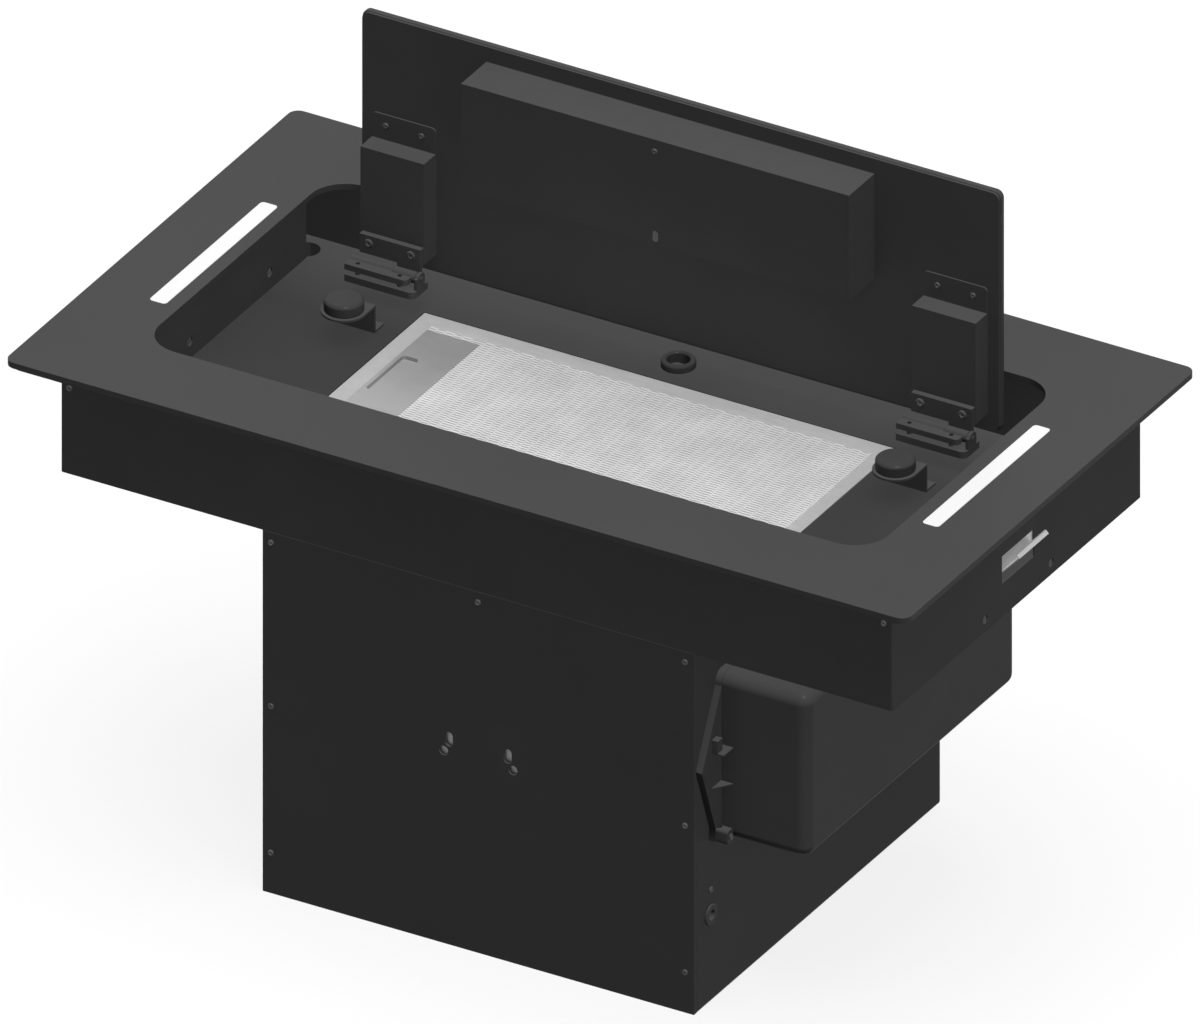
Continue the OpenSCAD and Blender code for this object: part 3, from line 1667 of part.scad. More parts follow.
// Folded sheet box that carries the moving leaf, with a flange on the flap above it
module hinge_box(x) {
  half = hinge_box_w / 2;
  flange_mid = (hinge_box_low + flange_top) / 2;
  color(black_paint)
    translate([x, 0, 0])
      difference() {
        union() {
          difference() {
            block([-half, half], [moving_leaf_back, flap_front],
              [hinge_box_low, hinge_box_top]);
            block([-half + sheet_t, half - sheet_t],
              [moving_leaf_back + sheet_t, flap_front + cut],
              [hinge_box_low - cut, hinge_box_top - sheet_t]);
          }
          intersection() {
            translate([0, 0, flange_mid])
              facing_front(flap_front, sheet_t)
                rounded_rect(hinge_box_w, flange_top - hinge_box_low, hinge_flange_r);
            block([-half, half], [flap_front - sheet_t, flap_front],
              [hinge_box_top - sheet_t, flange_top]);
          }
        }
        for (side = [-1, 1]) {
          hole_y(side * flange_screw_pitch / 2, flap_front,
            flange_top - flange_screw_down);
          hole_y(leaf_shift + side * leaf_screw_pitch / 2, moving_leaf_back, leaf_screw_z);
        }
      }
}

module hinge_box_left() {
  hinge_box(-hinge_x);
}

module hinge_box_right() {
  hinge_box(hinge_x);
}

// Moving leaf with its knuckle, screwed to the front of the hinge box
leaf_screw_z = axis_z + moving_leaf_h - leaf_screw_down;
module hinge_leaf(x) {
  mid = hinge_w / 2 + leaf_shift;
  top = axis_z + moving_leaf_h;
  color(black_paint)
    translate([x, 0, 0])
      difference() {
        union() {
          block([mid - moving_leaf_w / 2, mid + moving_leaf_w / 2],
            [moving_leaf_front, moving_leaf_back], [moving_leaf_low, top]);
          block([moving_from, moving_to], [moving_leaf_front, moving_leaf_back],
            [axis_z, top]);
          bar_x([moving_from, moving_to], axis_y, axis_z, knuckle_r);
        }
        bar_x([moving_from - cut, moving_to + cut], axis_y, axis_z,
          hinge_pin_r + running_gap);
        for (side = [-1, 1])
          hole_y(mid + side * leaf_screw_pitch / 2, moving_leaf_front, leaf_screw_z);
      }
}

module hinge_leaf_left() {
  hinge_leaf(hinge_ends[0]);
}

module hinge_leaf_right() {
  hinge_leaf(hinge_ends[1]);
}

// Screws of the flap: two in each leaf, two in each flange and one in the control box
module flap_screws() {
  color(stainless) {
    for (x = [-hinge_x, hinge_x], side = [-1, 1]) {
      screw_front(x + leaf_shift + side * leaf_screw_pitch / 2, moving_leaf_front, leaf_screw_z);
      screw_front(x + side * flange_screw_pitch / 2, flap_front - sheet_t,
        flange_top - flange_screw_down);
    }
    screw_front(0, flap_front - flap_box_d, box_top - box_screw_down);
  }
}

top_glass();
worktop_seal();
light_cover_left();
light_cover_right();
light_housings();
light_boards();
upper_case();
recess_tray();
recess_wall_left();
recess_wall_right();
recess_wall_front();
recess_wall_rear();
tray_grommet();
bumper_bracket_left();
bumper_bracket_right();
bumper_left();
bumper_right();
hinge_base_left();
hinge_base_right();
hinge_fixed_leaf_left();
hinge_fixed_leaf_right();
hinge_pins();
friction_washers();
filter_ledge();
lower_case();
front_panel();
bottom_panel();
case_screws();
blower_housing();
blower_cover();
blower_bracket();
blower_motor();
motor_mount();
impeller();
fan_shaft();
duct_spigot();
damper_pin();
damper_left();
damper_right();
electronics_base();
electronics_cover();
circuit_board();
cable_clamp();
cable_gland();
spring_plates();
side_spring_left();
side_spring_right();
filter_frame();
filter_mesh();
filter_handle();
filter_catch();
flap_glass();
flap_backing();
flap_box();
flap_control_board();
hinge_box_left();
hinge_box_right();
hinge_leaf_left();
hinge_leaf_right();
flap_screws();
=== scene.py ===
"""Dresses the downdraft vent: rounded edges, expanded mesh, screws, finishes, a stage."""

import json
import math

import bpy
from mathutils import Matrix, Vector

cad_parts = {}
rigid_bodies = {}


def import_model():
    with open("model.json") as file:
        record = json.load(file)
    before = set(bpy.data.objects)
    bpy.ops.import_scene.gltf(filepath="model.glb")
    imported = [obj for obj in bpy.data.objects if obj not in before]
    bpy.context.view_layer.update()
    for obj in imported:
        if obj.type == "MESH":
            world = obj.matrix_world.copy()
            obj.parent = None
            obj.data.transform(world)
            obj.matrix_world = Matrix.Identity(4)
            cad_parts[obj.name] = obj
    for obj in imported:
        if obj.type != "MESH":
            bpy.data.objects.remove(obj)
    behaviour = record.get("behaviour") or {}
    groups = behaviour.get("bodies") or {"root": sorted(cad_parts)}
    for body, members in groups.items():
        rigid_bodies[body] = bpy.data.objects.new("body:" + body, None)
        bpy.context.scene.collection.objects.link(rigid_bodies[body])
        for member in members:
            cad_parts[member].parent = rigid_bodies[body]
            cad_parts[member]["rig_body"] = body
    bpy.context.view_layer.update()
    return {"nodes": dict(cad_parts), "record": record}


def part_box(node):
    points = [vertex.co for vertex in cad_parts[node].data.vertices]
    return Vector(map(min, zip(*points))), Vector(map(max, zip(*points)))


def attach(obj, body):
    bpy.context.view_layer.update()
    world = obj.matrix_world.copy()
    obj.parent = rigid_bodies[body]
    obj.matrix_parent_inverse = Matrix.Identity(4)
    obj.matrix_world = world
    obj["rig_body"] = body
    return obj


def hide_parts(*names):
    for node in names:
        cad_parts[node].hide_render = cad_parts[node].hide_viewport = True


bl_info = {
    "name": "Downdraft vent dressing",
    "version": (1, 0, 0),
    "blender": (4, 5, 0),
    "location": "View3D > Sidebar > Downdraft vent",
    "description": "Detailed pieces and finishes for a worktop downdraft vent",
    "category": "Object",
}

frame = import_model()
NODES = frame["nodes"]
SLOT_OF = {part["node"]: part["material_slot"] for part in frame["record"]["subparts"]}
MM = 0.001
NOISE_LOW, NOISE_HIGH = 0.3, 0.7
WELD = 0.002 * MM
FLAT_ANGLE = 0.5
SEAM_REACH = 0.3 * MM
CLOSE = 0.05 * MM
SAME_RADIUS = 0.01 * MM
# Lean and noise breaks of the painted highlight on rounded edges
HIGHLIGHT_LEAN = 0.86
HIGHLIGHT_BREAKS = (0.35, 0.65)
COAT_ROUGHNESS = 0.15
HINGE_EDGE_SHARE = 0.8
MESH_SMOOTH = 20.0
SCREW_SMOOTH = 30.0


# ---------------------------------------------------------------- sizes and colours


class VentSizes(bpy.types.PropertyGroup):
    """Sizes of the details that the frame's solids leave out"""

    glass_edge: bpy.props.FloatProperty(
        name="Polished glass edge", description="Radius ground on the edges of the glass",
        default=1.1 * MM, unit="LENGTH")
    sheet_edge: bpy.props.FloatProperty(
        name="Folded sheet edge", description="Radius of a fold or cut edge in sheet metal",
        default=0.5 * MM, unit="LENGTH")
    moulding_edge: bpy.props.FloatProperty(
        name="Moulded edge", description="Radius of the edges of the plastic mouldings",
        default=0.8 * MM, unit="LENGTH")
    rubber_edge: bpy.props.FloatProperty(
        name="Rubber edge", description="Radius of the edges of the rubber parts",
        default=1.6 * MM, unit="LENGTH")
    mesh_long: bpy.props.FloatProperty(
        name="Mesh length", description="Long way of a diamond in the expanded mesh",
        default=5.7 * MM, unit="LENGTH")
    mesh_short: bpy.props.FloatProperty(
        name="Mesh width", description="Short way of a diamond in the expanded mesh",
        default=3.6 * MM, unit="LENGTH")
    strand_width: bpy.props.FloatProperty(
        name="Strand width", description="Width of a strand of the expanded mesh",
        default=1.0 * MM, unit="LENGTH")
    strand_lift: bpy.props.FloatProperty(
        name="Strand lift", description="How far a strand leans up across its width",
        default=0.2 * MM, unit="LENGTH")
    leaf_screw_radius: bpy.props.FloatProperty(
        name="Leaf screw", description="Radius of the screws in the hinges' fixed leaves",
        default=2.4 * MM, unit="LENGTH")
    leaf_screw_length: bpy.props.FloatProperty(
        name="Leaf screws' length", description="Length of the screws in the fixed leaves",
        default=1.5 * MM, unit="LENGTH")
    leaf_screw_up: bpy.props.FloatProperty(
        name="Leaf screws' height", description="From the leaf's middle to the screws' tops",
        default=2.85 * MM, unit="LENGTH")
    leaf_screw_mid: bpy.props.FloatProperty(
        name="Leaf screws' middle", description="From the leaf's left end to between its screws",
        default=30.85 * MM, unit="LENGTH")
    leaf_screw_pitch: bpy.props.FloatProperty(
        name="Leaf screws' pitch", description="Distance between the two screws of a leaf",
        default=41.7 * MM, unit="LENGTH")
    leaf_screw_depth: bpy.props.FloatProperty(
        name="Leaf screws' depth", description="From the leaf's front edge to its screws",
        default=6.2 * MM, unit="LENGTH")
    mesh_sheet: bpy.props.FloatProperty(
        name="Mesh sheet", description="Thickness of the sheet the expanded mesh is slit from",
        default=0.35 * MM, unit="LENGTH")
    mesh_up: bpy.props.FloatProperty(
        name="Mesh height", description="How far the expanded mesh lies above its core",
        default=0.25 * MM, unit="LENGTH")
    moving_screw_share: bpy.props.FloatProperty(
        name="Moving leaf screws", description="Their head as a share of the frame's",
        default=1.4, subtype="FACTOR", min=1.0, max=1.6)
    socket_share: bpy.props.FloatProperty(
        name="Screw socket", description="Radius of a screw's socket as a share of its head",
        default=0.5, subtype="FACTOR", min=0.3, max=0.7)


class VentColours(bpy.types.PropertyGroup):
    """Colours of the vent's finishes and of the stage"""

    glass: bpy.props.FloatVectorProperty(
        name="Black glass", description="Enamelled glass of the worktop frame and the flap",
        default=(0.055, 0.055, 0.055), subtype="COLOR", size=3)
    paint: bpy.props.FloatVectorProperty(
        name="Black paint", description="Powder coat on the sheet metal",
        default=(0.062, 0.062, 0.062), subtype="COLOR", size=3)
    plastic: bpy.props.FloatVectorProperty(
        name="Black plastic", description="Moulded boxes, duct and gland",
        default=(0.06, 0.06, 0.06), subtype="COLOR", size=3)
    rubber: bpy.props.FloatVectorProperty(
        name="Rubber", description="Stops, grommet and seal",
        default=(0.042, 0.042, 0.042), subtype="COLOR", size=3)
    screws: bpy.props.FloatVectorProperty(
        name="Screws", description="Black oxide screws",
        default=(0.05, 0.05, 0.05), subtype="COLOR", size=3)
    # Painted shade: nearly black, standing for the shade in the countersinks of the fixed leaves
    sunk_shade: bpy.props.FloatVectorProperty(
        name="Sunk screws", description="Screws sunk in the hinges' fixed leaves",
        default=(0.014, 0.014, 0.014), subtype="COLOR", size=3)
    opal: bpy.props.FloatVectorProperty(
        name="Opal", description="Windows over the lights",
        default=(0.72, 0.72, 0.72), subtype="COLOR", size=3)
    zinc: bpy.props.FloatVectorProperty(
        name="Zinc", description="Galvanised brackets and pins",
        default=(0.2, 0.2, 0.205), subtype="COLOR", size=3)
    stainless: bpy.props.FloatVectorProperty(
        name="Stainless steel", description="Side springs",
        default=(0.5, 0.5, 0.5), subtype="COLOR", size=3)
    aluminium: bpy.props.FloatVectorProperty(
        name="Aluminium", description="Handle and catch of the filter",
        default=(0.37, 0.37, 0.37), subtype="COLOR", size=3)
    rim: bpy.props.FloatVectorProperty(
        name="Rim aluminium", description="Rolled frame of the filter",
        default=(0.48, 0.48, 0.48), subtype="COLOR", size=3)
    mesh: bpy.props.FloatVectorProperty(
        name="Mesh aluminium", description="Expanded mesh of the filter",
        default=(0.64, 0.64, 0.64), subtype="COLOR", size=3)
    # Painted shade: the lower layers are the same aluminium, darkened for the shade they lie in
    shaded_mesh_core: bpy.props.FloatVectorProperty(
        name="Mesh core", description="Lower layers of the filter's mesh, seen through the top one",
        default=(0.32, 0.32, 0.32), subtype="COLOR", size=3)
    board: bpy.props.FloatVectorProperty(
        name="Circuit board", description="Solder mask on the boards",
        default=(0.02, 0.12, 0.05), subtype="COLOR", size=3)
    floor: bpy.props.FloatVectorProperty(
        name="Floor", description="Floor and backdrop",
        default=(0.78, 0.78, 0.78), subtype="COLOR", size=3)


def sizes():
    """The sizes kept in the scene."""
    return bpy.context.scene.vent_sizes


def colours():
    """The colours kept in the scene."""
    return bpy.context.scene.vent_colours


# ---------------------------------------------------------------- shader node groups


def new_group(name, inputs, outputs):
    """An empty shader node group with float, vector or colour sockets."""
    tree = bpy.data.node_groups.new(name, "ShaderNodeTree")
    for label, kind, value in inputs:
        socket = tree.interface.new_socket(
            name=label, in_out="INPUT", socket_type="NodeSocket" + kind)
        socket.default_value = value
    for label, kind in outputs:
        tree.interface.new_socket(name=label, in_out="OUTPUT", socket_type="NodeSocket" + kind)
    return tree, tree.nodes.new("NodeGroupInput"), tree.nodes.new("NodeGroupOutput")


def add_node(tree, kind, **settings):
    """A node with its settings; settings named after input sockets fill those."""
    node = tree.nodes.new("ShaderNode" + kind)
    for key, value in settings.items():
        label = key.replace("_", " ")
        if label in node.inputs:
            node.inputs[label].default_value = value
        else:
            setattr(node, key, value)
    return node


def noise_range(tree, source, low, high):
    """The source, a noise, spread over a range of levels."""
    spread = add_node(tree, "MapRange")
    spread.inputs["From Min"].default_value = NOISE_LOW
    spread.inputs["From Max"].default_value = NOISE_HIGH
    spread.inputs["To Min"].default_value = low
    spread.inputs["To Max"].default_value = high
    tree.links.new(source, spread.inputs["Value"])
    return spread.outputs["Result"]


def product(tree, first, second):
    """The product of two levels."""
    times = add_node(tree, "Math", operation="MULTIPLY")
    tree.links.new(first, times.inputs[0])
    tree.links.new(second, times.inputs[1])
    return times.outputs["Value"]


def grain_group():
    """Fine grain, broad patches and the height that goes with them."""
    tree, start, end = new_group(
        "surface_grain",
        [("Fine Scale", "Float", 900.0), ("Patch Scale", "Float", 9.0)],
        [("Fine", "Float"), ("Patches", "Float")])
    place = add_node(tree, "TexCoord")
    fine = add_node(tree, "TexNoise", Detail=2.0, Roughness=0.55)
    patches = add_node(tree, "TexNoise", Detail=3.0, Roughness=0.6)
    tree.links.new(place.outputs["Object"], fine.inputs["Vector"])
    tree.links.new(place.outputs["Object"], patches.inputs["Vector"])
    tree.links.new(start.outputs["Fine Scale"], fine.inputs["Scale"])
    tree.links.new(start.outputs["Patch Scale"], patches.inputs["Scale"])
    tree.links.new(fine.outputs["Fac"], end.inputs["Fine"])
    tree.links.new(patches.outputs["Fac"], end.inputs["Patches"])
    return tree


def brushing_group():
    """Long thin lines, stretched the way the metal was brushed or rolled."""
    tree, start, end = new_group(
        "brushed_lines",
        [("Stretch", "Vector", (20.0, 1500.0, 1500.0))],
        [("Lines", "Float")])
    place = add_node(tree, "TexCoord")
    spread = add_node(tree, "Mapping")
    lines = add_node(tree, "TexNoise", Scale=1.0, Detail=3.0, Roughness=0.6)
    tree.links.new(place.outputs["Object"], spread.inputs["Vector"])
    tree.links.new(start.outputs["Stretch"], spread.inputs["Scale"])
    tree.links.new(spread.outputs["Vector"], lines.inputs["Vector"])
    tree.links.new(lines.outputs["Fac"], end.inputs["Lines"])
    return tree


def edge_highlight_group():
    """Mask of the rounded edges, where a painted highlight lightens the colour."""
    tree, start, end = new_group(
        "painted_edge_highlights",
        [("Width", "Float", 1.0 * MM), ("Break Up", "Float", 120.0)],
        [("Mask", "Float")])
    place = add_node(tree, "TexCoord")
    shape = add_node(tree, "NewGeometry")
    rounded = add_node(tree, "Bevel", samples=4)
    lean = add_node(tree, "VectorMath", operation="DOT_PRODUCT")
    spread = add_node(tree, "MapRange")
    spread.inputs["From Min"].default_value = 1.0
    spread.inputs["From Max"].default_value = HIGHLIGHT_LEAN
    noise = add_node(tree, "TexNoise", Detail=2.0)
    broken = add_node(tree, "MapRange")
    broken.inputs["From Min"].default_value = HIGHLIGHT_BREAKS[0]
    broken.inputs["From Max"].default_value = HIGHLIGHT_BREAKS[1]
    mask = add_node(tree, "Math", operation="MULTIPLY")
    tree.links.new(start.outputs["Width"], rounded.inputs["Radius"])
    tree.links.new(rounded.outputs["Normal"], lean.inputs[0])
    tree.links.new(shape.outputs["Normal"], lean.inputs[1])
    tree.links.new(lean.outputs["Value"], spread.inputs["Value"])
    tree.links.new(place.outputs["Object"], noise.inputs["Vector"])
    tree.links.new(start.outputs["Break Up"], noise.inputs["Scale"])
    tree.links.new(noise.outputs["Fac"], broken.inputs["Value"])
    tree.links.new(spread.outputs["Result"], mask.inputs[0])
    tree.links.new(broken.outputs["Result"], mask.inputs[1])
    tree.links.new(mask.outputs["Value"], end.inputs["Mask"])
    return tree


def painted_shade_group():
    """A painted shade: a level that changes evenly from the front of the vent to its rear."""
    tree, start, end = new_group(
        "front_to_rear_painted_shade",
        [("Front", "Float", 0.0), ("Rear", "Float", 0.1), ("Front Level", "Float", 1.0),
         ("Rear Level", "Float", 1.0)],
        [("Level", "Float")])
    place = add_node(tree, "TexCoord")
    parts = add_node(tree, "SeparateXYZ")
    run = add_node(tree, "MapRange")
    tree.links.new(place.outputs["Object"], parts.inputs["Vector"])
    tree.links.new(parts.outputs["Y"], run.inputs["Value"])
    tree.links.new(start.outputs["Front"], run.inputs["From Min"])
    tree.links.new(start.outputs["Rear"], run.inputs["From Max"])
    tree.links.new(start.outputs["Front Level"], run.inputs["To Min"])
    tree.links.new(start.outputs["Rear Level"], run.inputs["To Max"])
    tree.links.new(run.outputs["Result"], end.inputs["Level"])
    return tree


GROUPS = {}


def shared(name):
    """A shared node group, built the first time it is asked for."""
    if name not in GROUPS:
        GROUPS[name] = {
            "grain": grain_group, "brushing": brushing_group, "edges": edge_highlight_group,
            "painted_shade": painted_shade_group}[name]()
    return GROUPS[name]


# ---------------------------------------------------------------- finishes


def finish(name, colour, rough, metal=0.0, gloss=0.3, fine=900.0, patch=9.0, tone=0.08,
           spread=0.08, bump=0.08, depth=0.1 * MM, brush=None, brush_tone=0.0,
           edge=0.0, highlight_colour=None, coat=0.0, painted_glow=0.0, painted_shade=None):
    """A finish with grain and patches; brushing, a painted edge highlight and a painted shade if
    asked for.
    """
    material = bpy.data.materials.new(name)
    material.use_nodes = True
    tree = material.node_tree
    tree.nodes.clear()
    out = tree.nodes.new("ShaderNodeOutputMaterial")
    skin = add_node(tree, "BsdfPrincipled")
    tree.links.new(skin.outputs["BSDF"], out.inputs["Surface"])
    skin.inputs["Metallic"].default_value = metal
    skin.inputs["Specular IOR Level"].default_value = gloss
    skin.inputs["Coat Weight"].default_value = coat
    skin.inputs["Coat Roughness"].default_value = COAT_ROUGHNESS

    grain = add_node(tree, "Group")
    grain.node_tree = shared("grain")
    grain.inputs["Fine Scale"].default_value = fine
    grain.inputs["Patch Scale"].default_value = patch
    texture = grain.outputs["Fine"]
    if brush:
        lines = add_node(tree, "Group")
        lines.node_tree = shared("brushing")
        lines.inputs["Stretch"].default_value = brush
        texture = lines.outputs["Lines"]

    level = noise_range(tree, grain.outputs["Patches"], 1.0 - tone, 1.0 + tone)
    if brush_tone:
        streaks = noise_range(tree, texture, 1.0 - brush_tone, 1.0 + brush_tone)
        level = product(tree, level, streaks)
    # Painted shade: the colour is scaled by a level running from front to rear
    if painted_shade:
        shade_level = add_node(tree, "Group")
        shade_level.node_tree = shared("painted_shade")
        for label, value in zip(("Front", "Rear", "Front Level", "Rear Level"), painted_shade):
            shade_level.inputs[label].default_value = value
        level = product(tree, level, shade_level.outputs["Level"])
    tinted = add_node(tree, "VectorMath", operation="SCALE")
    tinted.inputs[0].default_value = colour
    tree.links.new(level, tinted.inputs["Scale"])
    colour_out = tinted.outputs["Vector"]
    # Painted highlight: the rounded edges are lightened towards the highlight colour
    if edge:
        highlit_edges = add_node(tree, "Group")
        highlit_edges.node_tree = shared("edges")
        amount = add_node(tree, "Math", operation="MULTIPLY")
        amount.inputs[1].default_value = edge
        mixed = add_node(tree, "Mix", data_type="RGBA")
        tree.links.new(highlit_edges.outputs["Mask"], amount.inputs[0])
        tree.links.new(amount.outputs["Value"], mixed.inputs["Factor"])
        tree.links.new(colour_out, mixed.inputs[6])
        mixed.inputs[7].default_value = (*(highlight_colour or colour), 1.0)
        colour_out = mixed.outputs[2]
    tree.links.new(colour_out, skin.inputs["Base Color"])

    roughness = noise_range(tree, texture, rough - spread, rough + spread)
    tree.links.new(roughness, skin.inputs["Roughness"])

    relief = add_node(tree, "Bump")
    relief.inputs["Strength"].default_value = bump
    relief.inputs["Distance"].default_value = depth
    tree.links.new(texture, relief.inputs["Height"])
    tree.links.new(relief.outputs["Normal"], skin.inputs["Normal"])
    # Painted light: the colour is also given off, though the part is no lamp
    if painted_glow:
        tree.links.new(colour_out, skin.inputs["Emission Color"])
        skin.inputs["Emission Strength"].default_value = painted_glow
    return material


def make_finishes():
    """The finishes, by the record's slot names."""
    c = colours()
    return {
        # The glass and the black oxide screws carry a painted highlight on their edges
        "black_glass": finish("black_enamelled_glass", tuple(c.glass), 0.42, gloss=0.03, fine=300.0,
                              patch=5.0, tone=0.03, spread=0.04, bump=0.03, edge=0.25,
                              highlight_colour=(0.2, 0.2, 0.2)),
        "black_paint": finish("black_powder_coat", tuple(c.paint), 0.66, gloss=0.02, fine=1400.0,
                              patch=7.0, tone=0.05, spread=0.08, bump=0.12),
        # The recess floor carries a painted shade, darker towards its front
        "shaded_floor_paint": finish("recess_powder_coat_painted_shade", tuple(c.paint), 0.66, gloss=0.02, fine=1400.0,
                              patch=7.0, tone=0.05, spread=0.08, bump=0.12,
                              painted_shade=(60.0 * MM, 170.0 * MM, 0.63, 1.05)),
        "black_plastic": finish("black_grained_plastic", tuple(c.plastic), 0.62, gloss=0.03,
                                fine=1100.0, patch=10.0, tone=0.05, spread=0.06, bump=0.15,
                                coat=0.04),
        "black_screws": finish("black_oxide", tuple(c.screws), 0.45, gloss=0.3, fine=2500.0,
                               patch=60.0, tone=0.15, spread=0.1, bump=0.1, edge=0.5,
                               highlight_colour=(0.2, 0.2, 0.2)),
        # Painted shade: the sunk screws are made nearly black for the shade in their countersinks
        "sunk_screws_shaded": finish("sunk_screws_painted_shade", tuple(c.sunk_shade), 0.6, gloss=0.03, fine=2500.0,
                              patch=60.0, tone=0.15, spread=0.1, bump=0.1),
        "rubber": finish("black_rubber", tuple(c.rubber), 0.75, gloss=0.03, fine=2200.0,
                         patch=40.0, tone=0.08, spread=0.05, bump=0.2, coat=0.06),
        # The opal windows get a painted glow, with no lamp behind them
        "opal": finish("opal_window", tuple(c.opal), 0.3, gloss=0.3, fine=500.0, patch=12.0,
                       tone=0.01, spread=0.03, bump=0.02, painted_glow=0.05),
        "zinc": finish("galvanised_steel", tuple(c.zinc), 0.45, metal=0.7, gloss=0.3, fine=60.0,
                       patch=90.0, tone=0.16, spread=0.12, bump=0.05),
        "stainless": finish("brushed_stainless", tuple(c.stainless), 0.38, metal=0.6, gloss=0.4,
                            patch=30.0, tone=0.05, spread=0.08, bump=0.06,
                            brush=(2500.0, 60.0, 2500.0), brush_tone=0.08),
        # The handle and catch carry painted light and shade, lighter at the front and darker at the
        # rear
        "aluminium": finish("satin_aluminium_painted_shade", tuple(c.aluminium), 0.5, metal=0.45, gloss=0.3,
                            patch=14.0, tone=0.05, spread=0.06, bump=0.05,
                            brush=(30.0, 900.0, 900.0), brush_tone=0.05,
                            painted_shade=(-45.0 * MM, 55.0 * MM, 1.09, 0.83)),
        "rim_aluminium": finish("rolled_aluminium", tuple(c.rim), 0.5, metal=0.45, gloss=0.3,
                                patch=14.0, tone=0.05, spread=0.06, bump=0.05,
                                brush=(30.0, 900.0, 900.0), brush_tone=0.05),
        "aluminium_mesh": finish("mesh_aluminium", tuple(c.mesh), 0.5, metal=0.4, gloss=0.3,
                                 fine=900.0, patch=25.0, tone=0.07, spread=0.08, bump=0.06),
        # Painted shade: the same aluminium as the mesh, darkened to stand for the shade below it
        "shaded_mesh_core": finish("shaded_mesh_core", tuple(c.shaded_mesh_core), 0.5, metal=0.4, gloss=0.3, fine=900.0,
                            patch=25.0, tone=0.07, spread=0.08, bump=0.06),
        "board_green": finish("solder_mask", tuple(c.board), 0.4, gloss=0.4, fine=700.0, patch=50.0,
                              tone=0.15, spread=0.08, bump=0.1),
    }


FINISHES = {}
# Nodes that look other than their slot's plain finish; the recess floor's carries a painted shade,
# and the mesh core is darkened as painted shade
OWN_FINISH = {"filter_mesh": "shaded_mesh_core", "filter_frame": "rim_aluminium",
              "recess_tray": "shaded_floor_paint", "hinge_pins": "black_screws"}


def coat_piece(piece, slot):
    """Give a piece the finish of one of the record's slots."""
    if not FINISHES:
        FINISHES.update(make_finishes())
    piece.data.materials.clear()
    piece.data.materials.append(FINISHES[slot])


def coat_node(node):
    """Give a CAD node the finish of its own slot."""
    holder = NODES[node]
    if not FINISHES:
        FINISHES.update(make_finishes())
    material = FINISHES[OWN_FINISH.get(node, SLOT_OF[node])]
    if not holder.material_slots:
        holder.data.materials.append(material)
    for place in holder.material_slots:
        place.link = "OBJECT"
        place.material = material


# ---------------------------------------------------------------- modelling helpers


def deselect():
    """Leave edit mode with nothing selected."""
    if bpy.context.mode != "OBJECT":
        bpy.ops.object.mode_set(mode="OBJECT")
    bpy.ops.object.select_all(action="DESELECT")


def pick(piece):
    """Make one piece the only selected and the active one."""
    deselect()
    piece.select_set(True)
    bpy.context.view_layer.objects.active = piece


def mark(piece, kind, test):
    """Go into edit mode with only the vertices, edges or faces that the test takes selected."""
    if bpy.context.mode != "OBJECT":
        bpy.ops.object.mode_set(mode="OBJECT")
    mesh = piece.data
    for part in (mesh.vertices, mesh.edges, mesh.polygons):
        part.foreach_set("select", [False] * len(part))
    points = mesh.vertices
    if kind == "VERT":
        for point in points:
            point.select = test(point.co)
    elif kind == "EDGE":
        for edge in mesh.edges:
            edge.select = test(points[edge.vertices[0]].co, points[edge.vertices[1]].co)
    else:
        for face in mesh.polygons:
            face.select = test(face.center, face.normal)
    bpy.context.tool_settings.mesh_select_mode = (kind == "VERT", kind == "EDGE", kind == "FACE")
    bpy.ops.object.mode_set(mode="EDIT")


def settle(piece, degrees=35.0):
    """Put the piece at the origin, with its place in its mesh, and shade it by angle."""
    pick(piece)
    bpy.ops.object.transform_apply(location=True, rotation=True, scale=True)
    bpy.ops.object.shade_smooth_by_angle(angle=math.radians(degrees))


def flatten(piece):
    """Keep the large faces flat in the shading, so that only the rounded edges turn."""
    pick(piece)
    even = piece.modifiers.new("flat_faces", "WEIGHTED_NORMAL")
    even.mode = "FACE_AREA"
    even.weight = 100
    even.keep_sharp = True
    bpy.ops.object.modifier_apply(modifier=even.name)


def belongs(piece, slot, body, *nodes):
    """Finish a piece, let it ride on its body and stand for its CAD nodes."""
    coat_piece(piece, OWN_FINISH.get(nodes[0], slot) if nodes else slot)
    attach(piece, body)
    if nodes:
        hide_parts(*nodes)
    return piece


def join(pieces, name, degrees):
    """Make one piece of several, at the origin."""
    deselect()
    for piece in pieces:
        piece.select_set(True)
    bpy.context.view_layer.objects.active = pieces[0]
    bpy.ops.object.join()
    pieces[0].name = name
    settle(pieces[0], degrees)
    return pieces[0]


